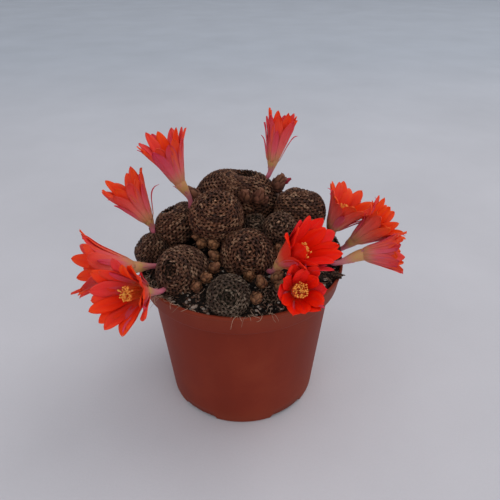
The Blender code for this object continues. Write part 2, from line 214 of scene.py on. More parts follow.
def closedRings(rows, columns):
    # faces of rings laid out one after another, closed by the two end points that follow them
    ring = np.arange(columns)
    after = (ring + 1) % columns
    total = rows * columns
    last = total - columns
    start = np.stack([ring, after, np.full(columns, total)], 1)
    end = np.stack([last + after, last + ring, np.full(columns, total + 1)], 1)
    return [gridFaces(rows, columns, True)[:, ::-1], start, end]


def rimFaces(rows, columns):
    # quads that close a sheet and its second skin all round their rim
    total = rows * columns
    rim = [*range(columns), *range(2 * columns - 1, total, columns)]
    rim += [*range(total - 2, total - columns - 1, -1), *range(total - 2 * columns, 0, -columns)]
    return np.array([[a, b, b + total, a + total] for a, b in zip(rim, rim[1:] + rim[:1])])


def unit(vectors):
    vectors = np.asarray(vectors, float)
    return vectors / np.linalg.norm(vectors, axis=-1, keepdims=True)


def ease(value, start=0.0, end=1.0):
    share = np.clip((value - start) / (end - start), 0, 1)
    return share * share * (3 - 2 * share)


def turnedBasis(axis):
    # two directions square to an axis and to each other
    axis = unit(axis)
    side = unit(np.cross((0.0, 1.0, 0.0) if abs(axis[1]) < 0.9 else (1.0, 0.0, 0.0), axis))
    return side, np.cross(axis, side), axis


def tube(path, radii, sides=6):
    # points and faces of a closed tube along a path
    path = np.asarray(path, float)
    radii = np.asarray(radii, float)
    way = unit(np.gradient(path, axis=0))
    side = turnedBasis(way[0])[0]
    rings = []
    angles = np.linspace(0, 2 * math.pi, sides, endpoint=False)
    for point, radius, forward in zip(path, radii, way):
        side = unit(side - forward * (side @ forward))
        up = np.cross(forward, side)
        rings.append(point + radius * (np.outer(np.cos(angles), side) + np.outer(np.sin(angles), up)))
    points = np.concatenate([*rings, path[:1], path[-1:]])
    return points, [faces[:, ::-1] for faces in closedRings(len(path), sides)]


def aroundAxis(basis, polar, turn):
    # directions at an angle from the axis, turned about it
    side, up, axis = basis
    return (
        np.outer(np.cos(polar), axis)
        + (np.sin(polar) * np.cos(turn))[:, None] * side
        + (np.sin(polar) * np.sin(turn))[:, None] * up
    )


def spoke(side, up, turn):
    # the direction at one turn in the plane of two others
    return side * math.cos(turn) + up * math.sin(turn)


soilValues = {
    "rise": 7.0,  # mm above the rim at the middle
    "edgeDrop": 2.6,  # how far the soil lies below the dome at the wall, mm
    "roughness": 0.55,  # height of the lumps, mm
    "underside": 2.2,  # lift off the lowest point of the solid, mm
    "grains": 5200,
    "chips": [  # heaps of pale chips: place in plan, spread, how many
        ((-0.46, -0.84), 0.07, 75),
        ((-0.66, -0.70), 0.06, 40),
        ((-0.33, -0.90), 0.04, 24),
        ((0.14, -0.93), 0.07, 55),
        ((0.34, -0.88), 0.06, 30),
        ((0.00, -0.975), 0.03, 16),
        ((0.55, -0.60), 0.08, 40),
    ],
    "bark": [  # heaps of dry brown crumbs: place in plan, height added in mm, spread, how many
        ((0.80, -0.32), 0.0, 0.08, 90),
        ((0.72, -0.48), 0.0, 0.06, 50),
        ((-0.80, -0.45), 0.0, 0.07, 50),
        ((-0.72, -0.62), 0.0, 0.05, 30),
        ((0.90, -0.43), 2.2, 0.018, 34),
    ],
    "kinds": {"crumb": 0.55, "lying": 0.6, "clay": 0.78, "pumice": 0.88, "bark": 1.0},  # where each begins
    "fibres": 90,
    "tufts": [  # roots over the rim: place round it in radians, how many, distance out
        (-2.52, 40, 0.985),
        (-2.38, 16, 0.985),
        (-2.03, 4, 0.975),
        (-1.50, 13, 0.985),
        (-1.38, 5, 0.985),
    ],
    "seed": 3,
}
moundRise = soilValues["rise"] * mm
moundRadius = (rimRadius**2 + moundRise**2) / (2 * moundRise)
moundMiddle = rimHeight + moundRise - moundRadius

# place in plan over the rim's radius, height above the rim in mm, radius in mm, tip direction, greyness
stemValues = {
    "stem_01": ((-0.11, -0.80), 4.2, 8.7, (0.0, -0.83, 0.56), 0.85),
    "stem_02": ((0.06, -0.30), 8.6, 12.0, (0.05, -0.75, 0.66), 0.1),
    "stem_03": ((-0.53, -0.44), 5.0, 11.5, (-0.37, -0.73, 0.58), 0.3),
    "stem_04": ((-0.23, -0.02), 22.0, 12.1, (0.02, -0.38, 0.92), 0.05),
    "stem_05": ((-0.63, 0.14), 13.0, 9.9, (-0.40, 0.10, 0.91), 0.2),
    "stem_06": ((-0.86, -0.03), 4.2, 8.2, (-0.75, 0.0, 0.66), 0.4),
    "stem_07": ((0.14, 0.01), 16.0, 5.4, (0.0, -0.30, 0.95), 0.6),
    "stem_08": ((0.37, -0.12), 17.8, 7.4, (-0.15, -0.56, 0.81), 0.4),
    "stem_09": ((-0.04, 0.48), 17.6, 16.6, (0.30, 0.12, 0.95), 0.1),
    "stem_10": ((0.59, 0.21), 18.2, 12.0, (0.25, 0.33, 0.91), 0.15),
    "stem_11": ((0.79, -0.04), 3.8, 8.8, (0.80, -0.20, 0.56), 0.4),
    "stem_12": ((0.23, -0.73), 1.8, 4.4, (0.10, -0.85, 0.52), 0.7),
    "stem_13": ((-0.60, 0.56), 5.5, 9.3, (-0.60, 0.50, 0.62), 0.3),
    "stem_14": ((0.43, 0.72), 6.5, 9.6, (0.35, 0.70, 0.62), 0.2),
    "stem_15": ((-0.06, 0.87), 3.2, 7.2, (-0.05, 0.85, 0.52), 0.5),
}
wideStem = {"name": "stem_09", "spread": 4.6 * mm}
stemTaper = 0.62


def overRim(place, height):
    # a point from its place in plan over the rim's radius and its height above the rim in mm
    return np.array([place[0] * rimRadius, place[1] * rimRadius, rimHeight + height * mm])


def moundHeight(radius):
    return moundMiddle + np.sqrt(moundRadius**2 - np.minimum(radius, rimRadius) ** 2)


def stemBalls(name):
    # centre and radius of the foot and the head, or of the two ends of the wide head
    place, height, radius, tip, _ = stemValues[name]
    radius *= mm
    lean = unit(tip)
    head = overRim(place, height)
    foot = head - lean * radius * 0.7
    foot[2] = moundHeight(math.hypot(foot[0], foot[1]))
    balls = [(foot, radius * stemTaper)]
    if name == wideStem["name"]:
        side = np.array([wideStem["spread"], 0, 0])
        return [*balls, (head - side, radius), (head + side, radius)]
    return [*balls, (head, radius)]


def filledBalls(balls, steps=12):
    # rows of x, y, z, radius spread through the hull of the balls
    corners = np.array([[*centre, radius] for centre, radius in balls])
    shares = np.linspace(0, 1, steps)
    if len(corners) == 2:
        return np.array([corners[0] * (1 - a) + corners[1] * a for a in shares])
    tops = [corners[1] * (1 - b) + corners[2] * b for b in shares]
    return np.array([corners[0] * (1 - a) + top * a for a in shares for top in tops])


stemBodies = {name: filledBalls(stemBalls(name)) for name in stemValues}


def depthInStems(points, besides=None):
    # how far each point is inside the nearest stem, negative outside
    deepest = np.full(len(points), -1.0)
    for name, balls in stemBodies.items():
        if name != besides:
            away = np.linalg.norm(points[:, None] - balls[None, :, :3], axis=2)
            deepest = np.maximum(deepest, (balls[None, :, 3] - away).max(axis=1))
    return deepest


def hullSurface(origin, directions, balls):
    # where rays from a point inside leave the hull of the balls
    offsets = balls[:, :3] - origin
    along = directions @ offsets.T
    inside = balls[:, 3] ** 2 - (offsets**2).sum(axis=1) + along**2
    reach = np.where(inside > 0, along + np.sqrt(np.maximum(inside, 0)), 0)
    return origin + directions * reach.max(axis=1)[:, None]


potValues = {
    "colour": (0.185, 0.019, 0.006),
    "dust": (0.33, 0.095, 0.044),
    "collarHeight": 10.4,  # mm
    "collarTaper": 1.9,
    "shoulderStep": 3.4,
    "bodyTaper": 6.2,
    "wall": 1.2,
    "footRing": 3.0,
    "floorLift": 1.8,
    "padRadius": 15.0,
    "notches": 5,
    "notchWidth": 20.0,
    "notchHeight": 2.1,
    "drains": 5,
    "drainRadius": 3.25,
    "sides": 240,
}


def rounded(corners, bends, steps=5):
    # a profile whose corners are rounded by the bend given for each, in mm
    points = []
    for index, corner in enumerate(corners):
        bend = bends[index]
        corner = np.array(corner, float)
        if not bend or index in (0, len(corners) - 1):
            points.append(corner)
            continue
        before = np.array(corners[index - 1], float) - corner
        after = np.array(corners[index + 1], float) - corner
        reach = min(bend, np.linalg.norm(before) / 2, np.linalg.norm(after) / 2)
        start = corner + unit(before) * reach
        end = corner + unit(after) * reach
        for share in np.linspace(0, 1, steps):
            points.append(start * (1 - share) ** 2 + corner * 2 * share * (1 - share) + end * share**2)
    return np.array(points)


def potFinish():
    finish = Finish("pot_plastic", potValues["colour"], 0.5, {"Specular IOR Level": 0.16})
    blotch = finish.noise(38, 5)
    streak = finish.noise(60, 4, stretch=(1, 1, 0.12))
    height = finish.node("ShaderNodeSeparateXYZ", None, {0: finish.place()}, out=2)
    nearRim = finish.step(height, rimHeight - 0.012, rimHeight + 0.001)
    nearFoot = 1 - finish.step(height, 0.0, 0.012)
    speck = finish.step(finish.noise(900, 2), 0.66, 0.74)
    film = 0.12 * finish.step(blotch, 0.45, 0.75) + 0.25 * nearRim * streak
    dusty = (film + 0.14 * nearFoot + 0.12 * speck).held()
    tone = finish.ramp(
        0.5 * blotch + 0.5 * streak,
        (0.3, tuple(c * 0.86 for c in potValues["colour"])),
        (0.7, tuple(min(1, c * 1.14) for c in potValues["colour"])),
    )
    colour = finish.mix(dusty, tone, potValues["dust"])
    grain = finish.noise(1500, 2) + 0.5 * finish.noise(240, 3)
    rough = 0.46 + 0.14 * blotch + 0.3 * dusty
    return finish.wear(colour, rough, finish.bump(grain, 0.12, 0.0003))


def makePot():
    values = potValues
    rim = rimRadius / mm
    top = rimHeight / mm
    wall = values["wall"]
    shoulder = top - values["collarHeight"]
    collar = rim - values["collarTaper"]
    body = collar - values["shoulderStep"]
    base = body - values["bodyTaper"]
    lift = values["floorLift"]
    pad = values["padRadius"]
    corners = [
        (0, wall),
        (pad - wall, wall),
        (pad, lift + wall),
        (base - wall + 0.2, lift + wall),
        (body - wall, shoulder + wall),
        (collar - wall, shoulder + wall),
        (rim - wall, top - 0.05),
        (rim - wall / 2, top + 0.0),
        (rim, top - 0.35),
        (rim - 0.1, top - 1.7),
        (rim - 0.55, top - 2.0),
        (collar, shoulder),
        (body, shoulder - 0.9),
        (base, 0),
        (base - values["footRing"], 0),
        (base - values["footRing"], lift),
        (pad + wall, lift),
        (pad, 0),
        (0, 0),
    ]
    bends = [0, 1, 1, 1.5, 1, 0.8, 0.5, 0.4, 0.4, 0.3, 0.4, 0.9, 1.4, 1.3, 0.4, 0.4, 0.5, 0.5, 0]
    profile = rounded(corners, bends)
    # extra levels on the long walls, so that shading and the foot's arches stay smooth
    levels = []
    for first, second in zip(profile[:-1], profile[1:]):
        pieces = max(1, int(np.linalg.norm(second - first) / 5))
        levels += [first + (second - first) * i / pieces for i in range(pieces)]
    profile = np.array([*levels, profile[-1]])
    angles = np.linspace(0, 2 * math.pi, values["sides"], endpoint=False)
    radius, height = profile[1:-1, 0:1], profile[1:-1, 1:2]
    # arches under the foot: the lowest edge of the wall lifts over each notch
    arch = np.zeros(len(angles))
    for i in range(values["notches"]):
        middle = 2 * math.pi * (i + 0.5) / values["notches"] - math.pi / 2
        apart = np.abs((angles - middle + math.pi) % (2 * math.pi) - math.pi) * base
        arch = np.maximum(arch, 1 - ease(apart, values["notchWidth"] / 2 - 1.0, values["notchWidth"] / 2))
    onRing = (radius > base - values["footRing"] - 0.2) & (height < values["notchHeight"])
    opened = np.maximum(height, values["notchHeight"] * arch)
    lifted = np.where(onRing & (arch[None, :] > 0), opened, height)
    # the thinnest hint of ovalness keeps the sheen from looking turned on a lathe
    reach = radius * (1 + 0.0015 * np.cos(2 * angles + 0.7)[None, :])
    points = np.stack([reach * np.cos(angles), reach * np.sin(angles), lifted], -1)
    points = np.concatenate([points.reshape(-1, 3), [[0, 0, profile[0, 1]], [0, 0, profile[-1, 1]]]]) * mm
    heap = Heap()
    heap.add(points, closedRings(len(radius), values["sides"]))
    pot = heap.piece("plastic_pot", [potFinish()])
    # drain holes through the raised part of the floor
    ringRadius = (pad + base - values["footRing"]) / 2 * mm
    cutter = Heap()
    for i in range(values["drains"]):
        turn = 2 * math.pi * (i + 0.3) / values["drains"]
        middle = np.array([ringRadius * math.cos(turn), ringRadius * math.sin(turn), 0])
        path = [middle + (0, 0, -4 * mm), middle + (0, 0, 7 * mm)]
        cutter.add(*tube(path, [values["drainRadius"] * mm] * 2, 32))
    holes = cutter.piece("drain_cutter", [])
    cut = pot.modifiers.new("drains", "BOOLEAN")
    cut.object = holes
    cut.solver = "EXACT"
    applied = bpy.data.meshes.new_from_object(pot.evaluated_get(bpy.context.evaluated_depsgraph_get()))
    pot.modifiers.clear()
    pot.data = applied
    bpy.data.objects.remove(holes)
    settle(pot, "pot_plastic", "pot")


def soilFinish():
    finish = Finish("soil_grit", (0.02, 0.016, 0.013), 0.95, {"Specular IOR Level": 0.15})
    coarse = finish.noise(420, 6, 0.65)
    fine = finish.noise(1700, 3)
    colour = finish.ramp(
        0.6 * coarse + 0.4 * fine,
        (0.36, (0.003, 0.0025, 0.002)),
        (0.54, (0.014, 0.010, 0.008)),
        (0.70, (0.07, 0.05, 0.038)),
    )
    return finish.wear(colour, 0.82 + 0.18 * coarse, finish.bump(coarse + 0.5 * fine, 0.9, 0.0008))


def grainFinish():
    # shade runs from black peat through bark and clay to pale pumice
    finish = Finish("soil_grains", (0.06, 0.05, 0.04), 0.9, {"Specular IOR Level": 0.25})
    shade = finish.value("shade")
    tone = finish.ramp(
        shade,
        (0.0, (0.004, 0.003, 0.0025)),
        (0.45, (0.020, 0.013, 0.010)),
        (0.68, (0.095, 0.050, 0.033)),
        (0.84, (0.34, 0.19, 0.13)),
        (1.0, (0.62, 0.54, 0.47)),
    )
    spots = finish.noise(2600, 3)
    colour = finish.mix((0.75 * spots).held(), tone, (0.02, 0.016, 0.013), "MULTIPLY")
    return finish.wear(colour, 0.85 + 0.15 * spots, finish.bump(spots, 0.6, 0.0002))


def moundLumps(x, y):
    # the soil's own unevenness, in metres
    x, y = x / mm, y / mm
    waves = np.sin(0.61 * x + 1.3) * np.cos(0.47 * y - 0.6) + 0.6 * np.sin(1.13 * y + 0.37 * x)
    waves += 0.45 * np.sin(1.9 * x - 1.1 * y + 2.0) + 0.3 * np.cos(2.7 * y + 1.7 * x)
    return waves * soilValues["roughness"] * 0.45 * mm


def soilTop(x, y):
    radius = np.hypot(x, y)
    drop = soilValues["edgeDrop"] * mm * ease(radius, rimRadius * 0.74, rimRadius * 0.95)
    calmer = 1 - 0.6 * ease(radius, rimRadius * 0.9, rimRadius)
    return moundHeight(radius) - drop + moundLumps(x, y) * calmer


def makeSoil():
    values = soilValues
    rng = np.random.default_rng(values["seed"])
    low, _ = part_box("soil")
    edge = rimRadius - (potValues["wall"] + 0.1) * mm
    sides = 220
    angles = np.linspace(0, 2 * math.pi, sides, endpoint=False)
    radii = edge * np.linspace(0.012, 1, 84)
    x = radii[:, None] * np.cos(angles)
    y = radii[:, None] * np.sin(angles)
    top = np.stack([x, y, soilTop(x, y)], -1)
    # the unseen body under the surface follows the pot down to its floor
    shoulder = rimHeight - potValues["collarHeight"] * mm + 2 * mm
    body = edge - (potValues["collarTaper"] + potValues["shoulderStep"] + 0.4) * mm
    walls = [(edge - 1.8 * mm, shoulder), (body, shoulder - 0.4 * mm)]
    foot = body - potValues["bodyTaper"] * mm * 0.96
    walls += [(r, low.z + values["underside"] * mm) for r in (foot, 0.4 * mm)]
    circle = np.stack([np.cos(angles), np.sin(angles), np.zeros(sides)], -1)
    sideRings = [circle * r + (0, 0, z) for r, z in walls]
    points = np.concatenate([top.reshape(-1, 3), *sideRings])
    ends = [[0, 0, soilTop(0.0, 0.0)], [0, 0, low.z + values["underside"] * mm]]
    heap = Heap()
    heap.add(np.concatenate([points, ends]), closedRings(len(radii) + len(walls), sides))
    settle(heap.piece("potting_soil", [soilFinish()]), "soil_grit", "soil")
    makeGrains(rng, edge)
    makeFibres(rng, edge)


def rockShape():
    # the twelve corners and twenty faces that every grain starts from
    ratio = (1 + math.sqrt(5)) / 2
    corners = []
    for a in (-1, 1):
        for b in (-ratio, ratio):
            corners += [(0, a, b), (a, b, 0), (b, 0, a)]
    corners = unit(corners)
    faces = []
    close = 2 / math.sqrt(1 + ratio**2) * 1.05
    for i in range(12):
        for j in range(i + 1, 12):
            for k in range(j + 1, 12):
                trio = corners[[i, j, k]]
                if np.linalg.norm(trio - trio[[1, 2, 0]], axis=1).max() < close:
                    outward = np.dot(np.cross(trio[1] - trio[0], trio[2] - trio[0]), trio[0]) > 0
                    faces.append((i, j, k) if outward else (i, k, j))
    return corners, np.array(faces)


def scattered(rng, spot, spread, count, limit):
    # random places in plan around a spot, no further out than the limit
    x, y = (np.array(spot)[:, None] + rng.normal(size=(2, count)) * spread) * rimRadius
    inside = np.hypot(x, y) < limit
    return x[inside], y[inside]


def makeGrains(rng, edge):
    corners, faces = rockShape()
    heap = Heap("shade")
    spots = edge * 0.975 * np.sqrt(rng.random(soilValues["grains"]))
    turns = rng.random(len(spots)) * 2 * math.pi
    x, y = spots * np.cos(turns), spots * np.sin(turns)
    places = np.stack([x, y, soilTop(x, y)], 1)
    kinds = rng.random(len(places))
    for spot, spread, count in soilValues["chips"]:
        x, y = scattered(rng, spot, spread, count, edge * 0.985)
        places = np.concatenate([places, np.stack([x, y, soilTop(x, y)], 1)])
        kinds = np.concatenate([kinds, 0.5 + 0.5 * rng.random(len(x))])
    for spot, height, spread, count in soilValues["bark"]:
        x, y = scattered(rng, spot, spread, count, edge * (1.05 if height else 0.985))
        heaped = rimHeight + height * mm * rng.random(len(x))
        raised = heaped if height else soilTop(x, y) + 0.3 * mm
        places = np.concatenate([places, np.stack([x, y, raised], 1)])
        kinds = np.concatenate([kinds, np.full(len(x), 2.0)])
    kindsFrom = soilValues["kinds"]
    clear = depthInStems(places) < 0.3 * mm
    for place, kind in zip(places[clear], kinds[clear]):
        size = (0.45 + 0.85 * rng.random() ** 1.8) * mm
        squash = np.array([1.0, 0.55 + 0.4 * rng.random(), 0.45 + 0.4 * rng.random()])
        shade = 0.5 * rng.random()
        if kind > kindsFrom["crumb"]:
            shade = 0.55 + 0.22 * rng.random()
            squash = np.array([1.5, 0.5, 0.3]) * (0.7 + 0.5 * rng.random(3))
        if kind > kindsFrom["clay"]:
            shade = 0.80 + 0.08 * rng.random()
            size *= 0.9
        if kind > kindsFrom["pumice"]:
            shade = 0.91 + 0.09 * rng.random()
            squash = np.array([1.0, 0.8, 0.6])
            size *= 1.15
        if kind > kindsFrom["bark"]:
            shade = 0.42 + 0.36 * rng.random()
            squash = np.array([1.9, 0.55, 0.32]) * (0.7 + 0.6 * rng.random(3))
        turn = np.array(Matrix.Rotation(rng.random() * 6.3, 3, unit(rng.normal(size=3))))
        tilt = Matrix.Rotation((rng.random() - 0.5) * 1.2, 3, "X")
        flat = np.array(tilt @ Matrix.Rotation(rng.random() * 6.3, 3, "Z"))
        shape = corners * squash * (0.78 + 0.4 * rng.random((12, 1)))
        shape = shape @ (turn if kind < kindsFrom["lying"] else flat).T
        heap.add(place + (0, 0, size * 0.25) + shape * size, [faces], shade=shade)
    settle(heap.piece("soil_grains", [grainFinish()], smooth=False), "soil_grit")


def makeFibres(rng, edge):
    # fine dead roots and hairs: on the soil, and a tuft hanging over the rim at the left
    finish = Finish("dry_roots", (0.42, 0.27, 0.18), 0.8)
    tone = finish.ramp(finish.value("shade"), (0.0, (0.16, 0.08, 0.05)), (1.0, (0.62, 0.44, 0.32)))
    strands = finish.noise(3000, 2, stretch=(1, 1, 0.2))
    colour = finish.mix((0.4 * strands).held(), tone, (0.2, 0.12, 0.08))
    material = finish.wear(colour, 0.75 + 0.2 * strands)
    heap = Heap("shade")
    places = []
    for turn, count, out in soilValues["tufts"]:
        for _ in range(count):
            places.append((turn + rng.normal() * 0.09, out * (1 - 0.03 * rng.random()), True))
    for _ in range(soilValues["fibres"]):
        places.append((rng.random() * 2 * math.pi, 0.25 + 0.68 * math.sqrt(rng.random()), False))
    for turn, out, hanging in places:
        spot = np.array([out * edge * math.cos(turn), out * edge * math.sin(turn)])
        heading = turn + rng.normal() * (0.9 if hanging else 3.0)
        length = (3.0 + (5.0 if hanging else 3.0) * rng.random()) * mm
        bend = rng.normal() * (2.4 if hanging else 1.8)
        path = []
        for share in np.linspace(0, 1, 9):
            step = np.array([math.cos(heading + bend * share), math.sin(heading + bend * share)])
            spot = spot + step * length / 9
            distance = math.hypot(*spot)
            height = soilTop(*spot) + (0.35 + 1.1 * math.sin(math.pi * share) * abs(bend) * 0.5) * mm
            if distance > edge - 0.6 * mm:
                # over the wall, then down outside it
                beyond = distance - edge - 1.4 * mm
                onRim = max(rimHeight + 0.25 * mm, height)
                height = onRim if beyond < 0 else rimHeight + 0.4 * mm - 0.8 * beyond
            path.append([*spot, height])
        if depthInStems(np.array(path)).max() > 0.6 * mm:
            continue
        radii = np.linspace(0.15, 0.06, 9) * mm
        heap.add(*tube(path, radii, 4), shade=rng.random())
    settle(heap.piece("dry_roots", [material]), "soil_grit")


spineValues = {
    "spacing": 2.05,  # between areoles on a large head, mm
    "perSide": 5,
    "length": 1.8,  # mm
    "thickness": 0.155,  # radius at the root, mm
    "areole": 0.85,  # length of the row that the spines stand in, mm
    "bump": 0.75,  # height of the tubercles, mm
    "fan": (-8, 14),  # slant of the topmost and the lowest spine, degrees
    "dimple": 0.3,  # depth at the tip over the head's radius
    "woolly": ("stem_02", "stem_04", "stem_08", "stem_13"),  # heads with a pale tuft at the tip
    "seed": 11,
}


def skinFinish():
    finish = Finish("stem_skin", (0.03, 0.02, 0.015), 0.85, {"Specular IOR Level": 0.1})
    grey = finish.value("grey")
    mottle = finish.noise(700, 4)
    brown = finish.ramp(mottle, (0.3, (0.004, 0.002, 0.0012)), (0.7, (0.015, 0.007, 0.004)))
    green = finish.ramp(mottle, (0.3, (0.005, 0.005, 0.003)), (0.7, (0.018, 0.017, 0.011)))
    raised = finish.value("raised")
    # raised skin goes lighter and the hollows between the tubercles stay near black: painted shade in the
    # hollows
    colour = finish.mix((0.35 * raised).held(), finish.mix(grey, brown, green), (0.05, 0.027, 0.017))
    return finish.wear(colour, 0.7 + 0.25 * mottle, finish.bump(mottle, 0.5, 0.0003))


def spineFinish():
    finish = Finish("spine_horn", (0.3, 0.2, 0.13), 0.55, {"Specular IOR Level": 0.35})
    shade = finish.value("shade")
    grey = finish.value("grey")
    along = finish.value("along")
    warm = finish.ramp(
        shade,
        (0.0, (0.014, 0.005, 0.0028)),
        (0.35, (0.085, 0.0225, 0.0095)),
        (0.65, (0.235, 0.075, 0.031)),
        (0.88, (0.46, 0.190, 0.088)),
        (1.0, (0.76, 0.44, 0.26)),
    )
    cool = finish.ramp(
        shade,
        (0.0, (0.010, 0.007, 0.004)),
        (0.5, (0.075, 0.055, 0.035)),
        (0.8, (0.20, 0.155, 0.105)),
        (1.0, (0.46, 0.39, 0.30)),
    )
    tone = finish.mix(grey, warm, cool)
    root = finish.mix((0.55 * (1 - along)).held(), tone, (0.045, 0.019, 0.012))
    fleck = finish.noise(2200, 2)
    colour = finish.mix((0.35 * fleck).held(), root, (0.07, 0.042, 0.034))
    return finish.wear(colour, 0.38 + 0.25 * fleck)


def areoles(name):
    # spiral places of the areoles: directions from the head's middle, crowded at the tip
    radius = stemValues[name][2]
    spacing = spineValues["spacing"] * min(1.0, 0.74 + 0.022 * radius) * mm
    stretch = 1.25 if name == wideStem["name"] else 1.0
    area = spacing**2 * 0.88 / (2 * math.pi * (radius * mm) ** 2 * stretch)
    count = int(1.62 / area)
    index = np.arange(count) + 0.5
    drop = area * index * np.clip(0.42 + index / 26, 0, 1) ** 0.9
    polar = np.arccos(np.clip(1 - drop, -1, 1))
    turn = index * golden
    return aroundAxis(turnedBasis(stemValues[name][3]), polar, turn), polar, spacing


def stemPoint(name, directions, polar):
    # the head's smooth surface with its sunken tip
    balls = stemBodies[name]
    head = stemBalls(name)
    origin = (head[-1][0] + head[-2][0]) / 2 if name == wideStem["name"] else head[-1][0]
    surface = hullSurface(origin, directions, balls)
    radius = stemValues[name][2] * mm
    axis = unit(stemValues[name][3])
    depth = spineValues["dimple"] * (0.35 if name in spineValues["woolly"] else 1.0)
    sunk = radius * (depth * np.exp(-((polar / 0.26) ** 2)) + 0.035 * np.exp(-((polar / 0.75) ** 2)))
    return surface - axis * sunk[:, None]


def makeStem(name, skin, horn, rng):
    values = spineValues
    radius = stemValues[name][2] * mm
    grey = stemValues[name][4]
    side, up, axis = turnedBasis(stemValues[name][3])
    spots, polarOf, spacing = areoles(name)
    # skin: rings from the tip down, raised at every areole
    columns = int(np.clip(radius / mm * 11, 60, 170))
    rows = int(columns * 0.62)
    polar = np.linspace(0.03, math.pi - 0.05, rows)
    turns = np.linspace(0, 2 * math.pi, columns, endpoint=False)
    grid = np.stack(np.broadcast_arrays(polar[:, None], turns[None, :]), -1).reshape(-1, 2)
    directions = aroundAxis((side, up, axis), grid[:, 0], grid[:, 1])
    surface = stemPoint(name, directions, grid[:, 0])
    nearest = (directions @ spots.T).max(axis=1)
    apart = np.arccos(np.clip(nearest, -1, 1)) * radius
    raised = 1 - ease(apart, 0.0, spacing * 0.62)
    surface = surface + directions * ((raised - 0.5) * values["bump"] * mm)[:, None]
    heap = Heap("grey", "raised")
    ends = np.stack([surface[:columns].mean(axis=0), surface[-columns:].mean(axis=0)])
    faces = closedRings(rows, columns)
    # the raise is also stored on the points, where the skin's finish uses it for painted shade in the
    # hollows
    heap.add(np.concatenate([surface, ends]), faces, grey=grey, raised=np.append(raised, [1, 0]))
    settle(heap.piece(f"{name}_skin", [skin]), "stem_spines", name)
    # combs of spines, left out where a neighbour or the soil hides them
    base = stemPoint(name, spots, polarOf)
    hidden = depthInStems(base, name) > 0.9 * mm
    underground = base[:, 2] < soilTop(base[:, 0], base[:, 1]) - 0.4 * mm
    keep = ~(hidden | underground)
    base, out, polarOf = base[keep], spots[keep], polarOf[keep]
    down = unit(out * (out @ axis)[:, None] - axis + out * 1e-6)
    around = np.cross(out, down)
    size = np.clip(0.45 + polarOf * radius / (5.0 * mm), 0.45, 1) * min(1.0, 0.72 + 0.024 * radius / mm)
    perSide = values["perSide"] if radius > 6 * mm else values["perSide"] - 2
    heap = Heap("shade", "grey", "along")
    ownShade = rng.random(len(base))
    for way in (-1, 1):
        for number in range(perSide):
            share = (number + 0.5) / perSide
            slants = values["fan"]
            fan = np.radians(slants[0] + (slants[1] - slants[0]) * share + rng.normal(size=len(base)) * 6)
            heading = around * (way * np.cos(fan))[:, None] + down * np.sin(fan)[:, None]
            shift = (share - 0.5) * values["areole"] * mm * size
            root = base + down * shift[:, None] + out * (values["bump"] * 0.55 * mm * size)[:, None]
            length = values["length"] * mm * size * (0.84 + 0.3 * rng.random(len(base)))
            lift = length * (0.20 + 0.10 * rng.random(len(base)))
            middle = root + heading * (length * 0.52)[:, None] + out * lift[:, None]
            end = root + heading * length[:, None] + out * (lift * 0.35)[:, None]
            across = unit(np.cross(out, heading))
            thick = values["thickness"] * mm * np.sqrt(size)
            points = []
            for centre, share2 in ((root, 1.0), (middle, 0.86)):
                for turn in (0.5, 2.59, 4.69):
                    radial = spoke(across, out, turn)
                    points.append(centre + radial * (thick * share2)[:, None])
            points.append(end)
            block = np.stack(points, 1)
            first = np.arange(len(base))[:, None] * 7
            edges = [(k, (k + 1) % 3) for k in range(3)]
            quads = np.concatenate([first + np.array([a, b, b + 3, a + 3]) for a, b in edges])
            tris = np.concatenate([first + np.array([a + 3, b + 3, 6]) for a, b in edges])
            caps = first + np.array([2, 1, 0])
            shade = np.clip(0.68 * ownShade + 0.52 * rng.random(len(base)), 0, 1)
            heap.add(
                block,
                [quads, tris, caps],
                shade=np.repeat(shade, 7),
                grey=grey,
                along=np.tile([0, 0, 0, 0.55, 0.55, 0.55, 1.0], len(base)),
            )
    corners, faces = rockShape()
    tip = stemPoint(name, np.array([axis]), np.zeros(1))[0]
    for _ in range(7 if name in values["woolly"] else 0):
        wool = tip + (side * rng.normal() + up * rng.normal()) * 0.22 * mm + axis * 1.0 * mm
        shape = corners * (0.24 + 0.20 * rng.random()) * mm * (0.8 + 0.4 * rng.random((12, 1)))
        heap.add(wool + shape, [faces], shade=0.85 + 0.15 * rng.random(), grey=grey, along=1.0)
    settle(heap.piece(f"{name}_spines", [horn]), "stem_spines")
    return len(base)


def makeStems():
    rng = np.random.default_rng(spineValues["seed"])
    skin = skinFinish()
    horn = spineFinish()
    combs = sum(makeStem(name, skin, horn, rng) for name in stemValues)
    print("stems done,", combs, "combs of spines")


budValues = {
    "radius": 2.1,  # mm
    "scales": 17,
    "point": 0.75,  # how far the tip is drawn out
    "seed": 5,
    # extra small buds between the heads: place in plan, height above the rim, size, redness
    "extra": [
        ((0.25, 0.17), 25.5, 0.9, 0.9),
        ((-0.475, 0.30), 26.0, 1.45, 0.8),
        ((-0.84, 0.10), 11.5, 0.9, 0.4),
        ((0.36, -0.30), 10.5, 0.85, 0.8),
        ((-0.43, -0.19), 14.6, 0.7, 0.3),
        ((0.43, 0.44), 28.2, 1.4, 1.0),
        ((0.19, -0.71), 5.8, 1.05, 0.2),
        ((0.31, -0.72), 4.8, 1.0, 0.1),
        ((-0.30, 0.70), 8.0, 1.0, 0.3),
        ((0.20, 0.86), 5.0, 1.0, 0.2),
        ((0.68, 0.45), 6.0, 1.0, 0.3),
    ],
}


